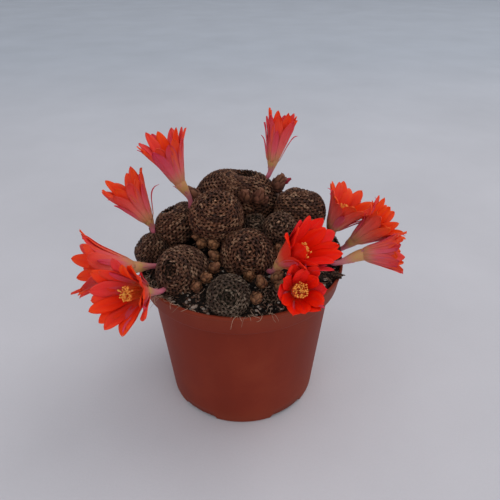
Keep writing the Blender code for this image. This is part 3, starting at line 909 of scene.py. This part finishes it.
def budFinish():
    finish = Finish("bud_scales", (0.3, 0.17, 0.11), 0.7, {"Specular IOR Level": 0.3})
    along = finish.value("along")
    warmth = finish.value("warmth")
    fibres = finish.noise(1500, 3, stretch=(1, 1, 0.3))
    tan = finish.ramp(
        along,
        (0.0, (0.030, 0.014, 0.008)),
        (0.5, (0.24, 0.095, 0.034)),
        (0.8, (0.36, 0.175, 0.075)),
        (1.0, (0.11, 0.028, 0.014)),
    )
    red = finish.ramp(
        along,
        (0.0, (0.028, 0.010, 0.007)),
        (0.5, (0.135, 0.038, 0.024)),
        (0.8, (0.22, 0.080, 0.052)),
        (1.0, (0.13, 0.024, 0.018)),
    )
    colour = finish.mix((0.5 * fibres).held(), finish.mix(warmth, tan, red), (0.13, 0.07, 0.045))
    return finish.wear(colour, 0.6 + 0.3 * fibres, finish.bump(fibres, 0.5, 0.0002))


def tipFinish():
    finish = Finish("opening_bud_tip", (0.30, 0.006, 0.02), 0.5)
    shade = finish.noise(1200, 3)
    colour = finish.ramp(shade, (0.3, (0.22, 0.004, 0.016)), (0.7, (0.42, 0.012, 0.035)))
    return finish.wear(colour, 0.4 + 0.2 * shade)


def makeBud(name, centre, axis, size, warmth, material, rng, node=None):
    # an egg covered by small overlapping pointed scales
    side, up, axis = turnedBasis(axis)
    radius = budValues["radius"] * mm * size
    point = budValues["point"] * (1.7 if warmth > 0.7 else 1.0)
    heap = Heap("along", "warmth")
    rows, columns = 12, 18
    turns = np.linspace(0, 2 * math.pi, columns, endpoint=False)
    rings = []
    for angle in np.linspace(0.06, math.pi - 0.1, rows):
        out = radius * math.sin(angle) * (1 + 0.06 * np.cos(5 * turns))
        height = radius * (1.12 * math.cos(angle) + point * math.exp(-((angle / 0.55) ** 2)))
        around = np.outer(np.cos(turns) * out, side) + np.outer(np.sin(turns) * out, up)
        rings.append(around + axis * height)
    points = centre + np.concatenate([*rings, [rings[0].mean(axis=0)], [rings[-1].mean(axis=0)]])
    heap.add(points, closedRings(rows, columns), along=0.15, warmth=warmth)
    count = budValues["scales"]
    for index in range(count):
        share = (index + 0.5) / count
        angle = 2.5 - 2.05 * share
        turn = index * golden + rng.normal() * 0.15
        outward = spoke(side, up, turn)
        across = np.cross(axis, outward)
        rows = []
        for step in np.linspace(0, 1, 5):
            here = angle - step * 0.95
            lift = radius * (1.04 + 0.10 * step * (1 - 0.4 * share))
            drawn = radius * point * math.exp(-((here / 0.6) ** 2))
            out = math.sin(here) * lift + radius * 0.26 * step**3
            spine = outward * out + axis * (math.cos(here) * lift * 1.12 + drawn)
            width = radius * 0.5 * (math.sin(math.pi * min(0.985, 0.25 + 0.76 * step)) ** 0.9)
            for cross in (-1, -0.4, 0.4, 1):
                rows.append(spine + across * cross * width - outward * abs(cross) ** 2 * width * 0.25)
        rows = np.array(rows)
        thick = rows - unit(rows) * radius * 0.05
        faces = gridFaces(5, 4)
        along = np.tile(np.repeat(np.linspace(0.2, 1, 5), 4), 2)
        tint = np.clip(warmth + rng.normal() * 0.12, 0, 1)
        skins = [faces, faces[:, ::-1] + len(rows), rimFaces(5, 4)[:, ::-1]]
        heap.add(centre + np.concatenate([rows, thick]), skins, along=along, warmth=tint)
    settle(heap.piece(name, [material]), "bud_scales", *([node] if node else []))


def nearestStemAway(point):
    # the direction out of the nearest stem, and that stem's surface distance
    best = None
    for balls in stemBodies.values():
        away = point - balls[:, :3]
        distance = np.linalg.norm(away, axis=1) - balls[:, 3]
        index = int(np.argmin(distance))
        if best is None or distance[index] < best[1]:
            best = (unit(away[index]), distance[index])
    return best


def makeBuds():
    rng = np.random.default_rng(budValues["seed"])
    material = budFinish()
    for index in range(1, 14):
        node = f"bud_{index:02d}"
        low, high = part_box(node)
        centre = np.array((low + high) / 2)
        out, _ = nearestStemAway(centre)
        upward = unit(out * 0.6 + np.array([0, -0.15, 0.75]) + rng.normal(size=3) * 0.15)
        tall = index in (10, 11, 12)
        warmth = 0.75 if tall else 0.35 * rng.random()
        size = 1.35 if tall else 1.04 + 0.14 * rng.random()
        makeBud(f"bud_cover_{index:02d}", centre, upward, size, warmth, material, rng, node)
    for index, (place, height, size, warmth) in enumerate(budValues["extra"]):
        centre = overRim(place, height)
        out, distance = nearestStemAway(centre)
        centre = centre - out * (distance - budValues["radius"] * mm * size * 0.8)
        upward = unit(out * 0.6 + np.array([0, -0.1, 0.8]) + rng.normal(size=3) * 0.15)
        makeBud(f"small_bud_{index + 1:02d}", centre, upward, size, warmth, material, rng)
        if warmth == 1.0:
            # one bud has started to open
            tip = centre + (upward * 1.5 + np.array([0.55, 0, 0])) * budValues["radius"] * mm * size
            makeBud("opening_tip", tip, unit(upward + (0.5, 0, 0)), 0.62, 1.0, tipFinish(), rng)
    print("buds done")


flowerValues = {
    "tubeRadius": 1.2,  # mm
    "throatRadius": 2.9,
    "rings": [  # petals, shift of their feet in mm, length, offset in a petal's turn, breadth, mouth
        (8, -0.45, 1.0, 0.0, 0.93, 0.92),
        (8, -0.05, 0.97, 0.5, 1.02, 1.0),
    ],
    "petalStart": -3.0,  # how far inside the tube a petal begins
    "fewer": {"flower_09": 1, "flower_10": 2},  # petals left out of each ring
    "thickness": 0.2,
    "stamens": 46,
    "seed": 21,
}

# way out of the stem, facing, petal length, mouth radius, flare, curl of the tips,
# scarlet, half-width of a petal, pink
flowerTable = {
    "flower_01": ((0.66, 0.12, 0.74), (0.20, 0.06, 0.97), 22, 7.5, 1.1, 0.15, 0.35, 2.6, 0.55),
    "flower_02": ((0.54, 0.41, 0.73), (-0.31, 0.0, 0.95), 22.5, 10.5, 1.2, 0.25, 0.1, 3.0, 0.60),
    "flower_03": ((0.05, 0.40, 0.91), (-0.44, -0.05, 0.90), 22, 10.5, 1.1, 0.3, 0.05, 3.0, 0.30),
    "flower_04": ((-0.80, 0.55, -0.20), (-0.90, -0.30, 0.28), 23, 13.0, 1.0, 0.4, 0.2, 3.8, 0.30),
    "flower_05": ((-0.55, -0.72, -0.42), (-0.43, -0.80, 0.42), 17, 12.5, 0.8, 0.4, 0.45, 3.5, 0.15),
    "flower_06": ((0.55, 0.76, -0.15), (0.44, -0.14, 0.89), 19.5, 11.6, 1.0, 0.5, 0.1, 3.2, 0.15),
    "flower_07": ((0.90, 0.33, -0.28), (0.68, -0.22, 0.70), 21, 10.0, 1.05, 0.5, 0.05, 2.9, 0.10),
    "flower_08": ((0.25, -0.92, -0.20), (0.95, -0.24, 0.18), 16.5, 8.8, 1.0, 0.35, 0.05, 2.9, 0.40),
    "flower_09": ((0.70, -0.68, -0.18), (0.60, -0.43, 0.68), 22, 11.0, 0.9, 0.3, 1.0, 4.0, 0.04),
    "flower_10": ((0.80, -0.10, 0.50), (0.05, -0.79, 0.61), 11, 9.6, 0.8, 0.12, 1.0, 3.4, 0.04),
}

# how far a throat stands off its CAD place, mm: these crowd together more than the solids may
throatShifts = {
    "flower_04": (-4.5, -0.5, -3.0),
    "flower_06": (1.0, 0.8, 0.5),
    "flower_07": (-2.3, -0.5, -1.7),
    "flower_08": (4.0, 2.6, 1.6),
    "flower_09": (-1.7, -1.0, 0.1),
}

# the solids' facings, where the flower itself leans a little differently
solidFacings = {
    "flower_04": (-0.84, -0.36, 0.40),
    "flower_06": (0.26, -0.12, 0.96),
    "flower_07": (0.72, -0.22, 0.66),
    "flower_08": (0.95, -0.25, 0.17),
    "flower_09": (0.38, -0.60, 0.70),
}

# long thin outer sepals that curl away: flower, turn round it in degrees, length over the petal's, curl
tailTable = [
    ("flower_02", 200, 1.05, 0.5),
    ("flower_03", 20, 0.6, 2.4),
    ("flower_03", 170, 0.8, 0.8),
    ("flower_04", 60, 1.1, 0.9),
    ("flower_04", 100, 0.9, 0.8),
    ("flower_05", 0, 1.0, 0.6),
    ("flower_05", 250, 1.25, 0.5),
    ("flower_05", 300, 1.1, 0.8),
    ("flower_01", 350, 0.72, 0.9),
    ("flower_01", 200, 0.55, 0.7),
    ("flower_06", 180, 1.1, 0.8),
    ("flower_06", 20, 0.95, 0.2),
    ("flower_06", 330, 0.8, 1.3),
    ("flower_07", 160, 1.12, 0.7),
    ("flower_07", 300, 0.9, 0.6),
    ("flower_07", 345, 1.1, 0.6),
    ("flower_08", 260, 1.0, 0.5),
    ("flower_08", 230, 1.05, 0.9),
    ("flower_09", 350, 0.95, 0.3),
    ("flower_10", 325, 1.2, 0.2),
    ("flower_10", 80, 1.1, 0.2),
]


def petalFinish(name, outside):
    # along runs from the throat to the tip, scarlet from orange to deep red, pinkness is the petal's own
    constants = {"Subsurface Weight": 0.2, "Subsurface Scale": 0.001, "Specular IOR Level": 0.12}
    finish = Finish(name, (0.85, 0.05, 0.01), 0.5, constants)
    along = finish.value("along")
    across = finish.value("across")
    scarlet = finish.value("scarlet")
    pinkness = finish.value("pinkness")
    sockets = {0: 16.0 * across, 1: 1.6 * along, 2: 7.0 * pinkness}
    spot = finish.node("ShaderNodeCombineXYZ", None, sockets)
    veins = finish.node("ShaderNodeTexNoise", None, {"Vector": spot, "Scale": 1.0, "Detail": 3.0})
    blotch = finish.noise(170, 3)
    if outside:
        orange = finish.ramp(
            along,
            (0.0, (0.60, 0.30, 0.12)),
            (0.15, (0.66, 0.28, 0.13)),
            (0.28, (0.82, 0.24, 0.16)),
            (0.48, (0.90, 0.15, 0.10)),
            (0.75, (0.94, 0.085, 0.032)),
            (1.0, (0.95, 0.085, 0.010)),
        )
        deep = finish.ramp(
            along,
            (0.0, (0.62, 0.28, 0.11)),
            (0.15, (0.64, 0.20, 0.10)),
            (0.38, (0.78, 0.040, 0.022)),
            (1.0, (0.88, 0.010, 0.001)),
        )
    else:
        orange = finish.ramp(
            along,
            (0.0, (0.70, 0.10, 0.012)),
            (0.3, (0.88, 0.030, 0.002)),
            (0.75, (0.93, 0.055, 0.002)),
            (1.0, (0.95, 0.095, 0.008)),
        )
        deep = finish.ramp(
            along,
            (0.0, (0.80, 0.05, 0.004)),
            (0.25, (0.90, 0.010, 0.001)),
            (1.0, (0.96, 0.014, 0.001)),
        )
    tone = finish.mix(scarlet, orange, deep)
    pink = finish.ramp(
        along,
        (0.0, (0.58, 0.27, 0.13)),
        (0.15, (0.64, 0.25, 0.16)),
        (0.38, (0.76, 0.12, 0.16)),
        (1.0, (0.66, 0.035, 0.095)),
    )
    tone = finish.mix(pinkness, tone, pink)
    offCentre = finish.node("ShaderNodeMath", {"operation": "ABSOLUTE"}, {0: across})
    midrib = (1 - finish.step(offCentre, 0.0, 0.28)) * 0.22
    colour = finish.mix(midrib.held(), tone, (0.76, 0.032, 0.04))
    colour = finish.mix((0.24 * finish.step(veins, 0.5, 0.75)).held(), colour, (0.95, 0.14, 0.02))
    colour = finish.mix((0.22 * finish.step(blotch, 0.5, 0.8)).held(), colour, (0.66, 0.012, 0.004))
    rough = 0.42 + 0.2 * veins
    return finish.wear(colour, rough, finish.bump(veins + 0.3 * blotch, 0.35, 0.0003))


def tubeFinish():
    # pink neck, olive-yellow swelling below the throat, then pink again
    constants = {"Specular IOR Level": 0.3, "Subsurface Weight": 0.12, "Subsurface Scale": 0.0015}
    finish = Finish("tube_skin", (0.7, 0.3, 0.3), 0.45, constants)
    along = finish.value("along")
    streaks = finish.noise(500, 3)
    tone = finish.ramp(
        along,
        (0.0, (0.36, 0.10, 0.11)),
        (0.22, (0.54, 0.13, 0.20)),
        (0.48, (0.56, 0.20, 0.20)),
        (0.68, (0.54, 0.30, 0.105)),
        (0.92, (0.61, 0.285, 0.125)),
        (0.955, (0.80, 0.13, 0.010)),
    )
    colour = finish.mix((0.4 * finish.step(streaks, 0.45, 0.75)).held(), tone, (0.62, 0.16, 0.19))
    return finish.wear(colour, 0.4 + 0.2 * streaks, finish.bump(streaks, 0.3, 0.0003))


def petalSheet(length, throat, mouth, flare, halfWidth, curl, tip, rng, rows=16, columns=9):
    # one petal's points (rows, columns, 3): out, sideways and up from the throat, in mm
    t = 1 - (1 - np.linspace(0, 1, rows)) ** 1.25
    s = np.linspace(-1, 1, columns)[None, :]
    t = t[:, None]
    foot = 0.5
    width = halfWidth * (foot + (1 - foot) * ease(t, 0.0, tip))
    end = np.clip((t - tip) / (1 - tip), 0, 1)
    width = np.maximum(width * (1 - end**1.9) ** 0.68, halfWidth * 0.03)
    width = width * (1 + 0.05 * np.sin(9 * t + rng.random() * 6) * ease(t, 0.3, 0.7))
    out = throat + (mouth - throat) * t**flare + curl * halfWidth * 1.5 * ease(t, 0.45, 1.25) ** 1.5
    start = flowerValues["petalStart"]
    height = start + (length - start) * (t - 0.22 * min(curl, 1.6) * ease(t, 0.55, 1.3) ** 2 * 1.6)
    out = out - 0.75 * (1 - ease(t, 0.0, 0.16))  # the foot is tucked into the tube
    around = np.maximum(out, width * 1.12)
    wrap = np.sqrt(np.maximum(around**2 - (s * width) ** 2, 0)) - (around - out)
    phase = rng.random() * 6
    ripple = 0.30 * np.sin(2.6 * s * math.pi * 0.5 + phase) * t**2
    ripple = ripple + 0.18 * np.cos(s * math.pi * 2) * ease(t, 0.1, 0.5)
    ripple = ripple + 0.16 * np.sin(13 * t + 3 * s + 2 * phase) * ease(t, 0.3, 0.8)
    ripple = ripple * min(1, halfWidth / 2.5)
    edge = 0.35 * np.abs(s) ** 3 * ease(t, 0.35, 0.9) * rng.uniform(-0.5, 1.4)
    sway = rng.normal() * 0.8 * t**2
    sheet = np.stack(np.broadcast_arrays(wrap + ripple + edge, s * width + sway, height), -1)
    return sheet, t[:, 0], s[0]


def addPetal(heap, sheet, t, s, throatPoint, basis, turn, scarlet, pinkness):
    side, up, axis = basis
    radial = spoke(side, up, turn)
    across = np.cross(axis, radial)
    flat = sheet.reshape(-1, 3) * mm
    points = throatPoint + flat[:, :1] * radial + flat[:, 1:2] * across + flat[:, 2:] * axis
    rows, columns = len(t), len(s)
    # thickness: a second skin just outside, which is also the one with the outside's colours
    grid = points.reshape(rows, columns, 3)
    normals = unit(np.cross(np.gradient(grid, axis=1), np.gradient(grid, axis=0)) + radial * 1e-12)
    fade = (0.35 + 0.65 * np.minimum(1, 4 * (1 - t)))[:, None, None]
    half = flowerValues["thickness"] / 2 * mm * fade
    inner = (grid - normals * half).reshape(-1, 3)
    outer = (grid + normals * half).reshape(-1, 3)
    faces = gridFaces(rows, columns)
    values = {
        "along": np.repeat(t, columns),
        "across": np.tile(s, rows),
        "scarlet": scarlet,
        "pinkness": pinkness,
    }
    start = heap.count
    heap.add(inner, [faces[:, ::-1]], 0, **values)
    heap.add(outer, [faces], 1, **values)
    edges = rimFaces(rows, columns)
    heap.faces.extend((edges + start).tolist())
    heap.slots.append(np.full(len(edges), 1))


def flowerLine(name):
    # where the CAD tube starts and where its throat is
    facing = unit(solidFacings.get(name, flowerTable[name][1]))
    foot = np.array([v.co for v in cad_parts[f"{name}_stamens"].data.vertices])
    level = foot @ facing
    throat = foot[level < level.min() + 0.05 * mm].mean(axis=0) - facing * 0.3 * mm
    skin = np.array([v.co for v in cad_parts[f"{name}_tube"].data.vertices])
    away = np.linalg.norm(skin - throat, axis=1)
    start = skin[away > away.max() - 0.5 * mm].mean(axis=0)
    return start, throat


def makeFlower(name, finishes, rng):
    seat, facing, length, mouth, flare, curl, scarlet, halfWidth, pink = flowerTable[name]
    facing = unit(facing)
    start, throat = flowerLine(name)
    throat = throat + np.array(throatShifts.get(name, (0, 0, 0))) * mm
    basis = turnedBasis(facing)
    values = flowerValues
    # tube
    bend = np.linalg.norm(throat - start) * 0.4
    out = unit(seat)
    start = start - nearestStemAway(start)[0] * 1.0 * mm
    share = np.linspace(0, 1, 26)[:, None]
    line = start * (1 - share) ** 3 + (start + out * bend) * 3 * share * (1 - share) ** 2
    line = line + (throat - facing * bend) * 3 * share**2 * (1 - share) + throat * share**3
    line = np.concatenate([line, [throat + facing * 0.6 * mm]])
    grow = np.linspace(0, 1, 26)
    radii = values["tubeRadius"] + (values["throatRadius"] - values["tubeRadius"]) * ease(grow, 0.30, 0.95)
    radii = radii * (1 - 0.25 * np.exp(-((grow / 0.12) ** 2)))
    radii = np.append(radii, values["throatRadius"] * 0.93) * mm
    heap = Heap("along")
    points, faces = tube(line, radii, 28)
    points[-1] -= facing * 1.6 * mm  # a hollow throat
    swell = np.append(np.repeat(np.append(grow * 0.93, 0.96), 28), [0, 1])
    heap.add(points, faces, along=swell)
    # small pointed bracts on the tube
    for index in range(5):
        place = 0.38 + 0.12 * index + rng.normal() * 0.02
        at = int(place * 25)
        turn = index * golden + rng.random()
        way = unit(line[at + 1] - line[at])
        side, up, _ = turnedBasis(way)
        radial = spoke(side, up, turn)
        reach = (1.6 + 1.3 * rng.random()) * mm
        q = np.linspace(0, 1, 5)[:, None]
        path = line[at] + radial * radii[at] * (0.9 + 0.55 * q**1.6) + way * reach * q
        heap.add(*tube(path, np.array([0.42, 0.40, 0.30, 0.18, 0.04]) * mm, 5), along=0.3)
    settle(heap.piece(f"{name}_neck", [finishes["tube"]]), "tube_skin", f"{name}_tube")
    # petals in two rings, then the thin outer sepals
    heap = Heap("along", "across", "scarlet", "pinkness")
    throatRadius = values["throatRadius"]
    offset = rng.random() * 6
    for full, shift, share, twist, broad, opening in values["rings"]:
        count = full - values["fewer"].get(name, 0)
        for index in range(count):
            turn = offset + 2 * math.pi * (index + twist) / count + rng.normal() * 0.07
            sheet, t, s = petalSheet(
                length * share * (1 + rng.normal() * 0.05),
                throatRadius + shift,
                mouth * opening * (1 + rng.normal() * 0.09),
                flare,
                halfWidth * broad * (1 + rng.normal() * 0.06),
                max(0.0, curl * (1 + rng.normal() * 0.6)),
                0.68,
                rng,
            )
            pinkness = np.clip(rng.normal() * 0.14 + (pink if twist else 0.1 * pink), 0, 1)
            addPetal(heap, sheet, t, s, throat, basis, turn, scarlet, pinkness)
    for index in range(5):
        turn = offset + 2 * math.pi * (index + 0.25) / 5 + rng.normal() * 0.2
        size = length * (0.62 + 0.3 * rng.random())
        reach = mouth * (0.72 + 0.25 * rng.random())
        broad = 1.35 + 0.4 * rng.random()
        foot = throatRadius + 0.1
        sheet, t, s = petalSheet(size, foot, reach, flare, broad, curl + 0.15, 0.5, rng, 14, 7)
        addPetal(heap, sheet, t, s, throat, basis, turn, scarlet, 0.75 + 0.25 * rng.random())
    for owner, degrees, share, tail in tailTable:
        if owner == name:
            size = length * share
            foot = throatRadius + 0.15
            sheet, t, s = petalSheet(size, foot, mouth * 1.05, flare, 1.0, curl + tail, 0.35, rng, 18, 7)
            addPetal(heap, sheet, t, s, throat, basis, math.radians(degrees), scarlet, 1.0)
    petals = heap.piece(f"{name}_corolla", [finishes["inside"], finishes["outside"]])
    settle(petals, "petal_skin", f"{name}_petals")
    makeStamens(name, throat, basis, length, finishes, rng)


def stamenFinish(name, first, second):
    finish = Finish(name, first, 0.6, {"Subsurface Weight": 0.1, "Subsurface Scale": 0.001})
    dust = finish.noise(3500, 3)
    colour = finish.mix(dust, first, second)
    return finish.wear(colour, 0.55 + 0.3 * dust, finish.bump(dust, 0.6, 0.0002))


def makeStamens(name, throat, basis, length, finishes, rng):
    side, up, axis = basis
    heap = Heap()
    count = flowerValues["stamens"]
    for index in range(count):
        turn = index * golden
        ring = math.sqrt((index + 0.5) / count)
        spread = (0.7 + 2.5 * ring) * mm
        reach = length * (0.40 + 0.16 * rng.random() + 0.06 * ring) * mm
        radial = spoke(side, up, turn)
        base = throat + radial * (0.5 + 1.7 * ring) * mm - axis * 0.6 * mm
        end = throat + radial * spread + axis * reach
        end = end + (side * rng.normal() + up * rng.normal()) * 0.25 * mm
        middle = (base + end) / 2 + radial * 0.25 * mm
        path = [base * (1 - q) ** 2 + middle * 2 * q * (1 - q) + end * q**2 for q in np.linspace(0, 1, 6)]
        heap.add(*tube(path, np.linspace(0.13, 0.08, 6) * mm, 5))
        size = (0.30 + 0.12 * rng.random()) * mm
        way = unit(axis + side * rng.normal() * 0.4 + up * rng.normal() * 0.4)
        bead = [end + way * size * q for q in (-1.5, -1.15, -0.5, 0.3, 1.0, 1.4)]
        heap.add(*tube(bead, np.array([0.35, 0.8, 1.0, 1.0, 0.7, 0.25]) * size, 7), slot=1)
    # the style with its star of stigma lobes
    tip = throat + axis * length * 0.60 * mm
    path = [throat - axis * 0.5 * mm, throat + axis * length * 0.3 * mm, tip]
    heap.add(*tube(path, np.array([0.28, 0.24, 0.2]) * mm, 7), slot=1)
    for index in range(6):
        turn = index * math.pi / 3
        radial = spoke(side, up, turn)
        path = [tip, tip + radial * 0.5 * mm + axis * 0.5 * mm, tip + radial * 1.1 * mm + axis * 0.65 * mm]
        heap.add(*tube(path, np.array([0.16, 0.17, 0.1]) * mm, 5), slot=1)
    piece = heap.piece(f"{name}_anthers", [finishes["filament"], finishes["pollen"]])
    settle(piece, "stamen_pollen", f"{name}_stamens")


def makeFlowers():
    rng = np.random.default_rng(flowerValues["seed"])
    finishes = {
        "inside": petalFinish("petal_inside", False),
        "outside": petalFinish("petal_outside", True),
        "tube": tubeFinish(),
        "filament": stamenFinish("stamen_thread", (0.82, 0.20, 0.03), (0.88, 0.34, 0.07)),
        "pollen": stamenFinish("stamen_pollen", (0.90, 0.33, 0.025), (0.95, 0.54, 0.12)),
    }
    for name in flowerTable:
        makeFlower(name, finishes, rng)
    print("flowers done")


stageValues = {
    "camera": (0.0, -0.21186, 0.20703),
    "forward": (0.018, 0.857, -0.5151),
    "right": (0.9997, -0.0234, -0.0039),
    "lens": 36.0,
    "floorReach": 9.0,
    "lampAim": (0.0, 0.0, 0.06),
    "floor": (0.600, 0.592, 0.640),
    # the floor's colour at the back, darker and bluer: painted falloff of the light across the floor
    "farFloorShade": (0.44, 0.475, 0.545),
    "sky": (0.95, 0.97, 1.0),
    "skyStrength": 0.62,
    "lights": {  # place, disk across in metres, power, colour
        "soft_key": ((1.3, 0.7, 2.2), 1.8, 14.5, (1.0, 0.97, 0.93)),
        "front_fill": ((1.0, -1.35, 0.85), 1.6, 5.8, (1.0, 0.97, 0.93)),
        "low_fill": ((-0.9, -1.35, 0.45), 1.4, 3.4, (1.0, 0.96, 0.92)),
    },
}


def floorFinish():
    finish = Finish("floor_card", stageValues["floor"], 0.9)
    reach = finish.node("ShaderNodeSeparateXYZ", None, {0: finish.place()}, out=1)
    cloud = finish.noise(7, 4)
    fibre = finish.noise(900, 3)
    colour = finish.ramp(
        0.8 * cloud + 0.2 * fibre,
        (0.3, tuple(c * 0.94 for c in stageValues["floor"])),
        (0.7, tuple(c * 1.06 for c in stageValues["floor"])),
    )
    # the floor darkens and cools towards the back: painted shade for the light's falloff
    farShade = tuple(a / b for a, b in zip(stageValues["farFloorShade"], stageValues["floor"]))
    shade = finish.ramp(finish.step(reach, -0.1, 1.1), (0.0, (1.0, 1.0, 1.0)), (1.0, farShade))
    colour = finish.mix(1.0, colour, shade, "MULTIPLY")
    return finish.wear(colour, 0.9, finish.bump(fibre, 0.15, 0.0005))


def makeStage():
    values = stageValues
    floor = Heap()
    size = values["floorReach"]
    corners = [(-size, -size, 0), (size, -size, 0), (size, size, 0), (-size, size, 0)]
    floor.add(corners, [np.array([[0, 1, 2, 3]])])
    floor.piece("floor", [floorFinish()])
    world = bpy.data.worlds.new("studio")
    bpy.context.scene.world = world
    world.use_nodes = True
    background = world.node_tree.nodes["Background"]
    background.inputs[0].default_value = (*values["sky"], 1)
    background.inputs[1].default_value = values["skyStrength"]
    for name, (place, size, power, colour) in values["lights"].items():
        light = bpy.data.lights.new(name, "AREA")
        light.shape = "DISK"
        light.size = size
        light.energy = power
        light.color = colour
        lamp = bpy.data.objects.new(name, light)
        lamp.location = place
        aim = Vector(values["lampAim"]) - lamp.location
        lamp.rotation_euler = aim.to_track_quat("-Z", "Y").to_euler()
        bpy.context.scene.collection.objects.link(lamp)
    forward = Vector(values["forward"]).normalized()
    right = Vector(values["right"])
    right = (right - forward * right.dot(forward)).normalized()
    turn = Matrix((right, right.cross(forward), -forward)).transposed().to_4x4()
    turn.translation = values["camera"]
    lens = bpy.data.cameras.new("camera")
    lens.lens = values["lens"]
    lens.sensor_width = 36.0
    lens.clip_start = 0.01
    lens.clip_end = 30
    camera = bpy.data.objects.new("camera", lens)
    camera.matrix_world = turn
    bpy.context.scene.collection.objects.link(camera)
    bpy.context.scene.camera = camera
    bpy.context.scene.view_settings.view_transform = "Standard"


makeStage()
makePot()
print("pot done")
makeSoil()
print("soil done")
makeStems()
makeBuds()
makeFlowers()
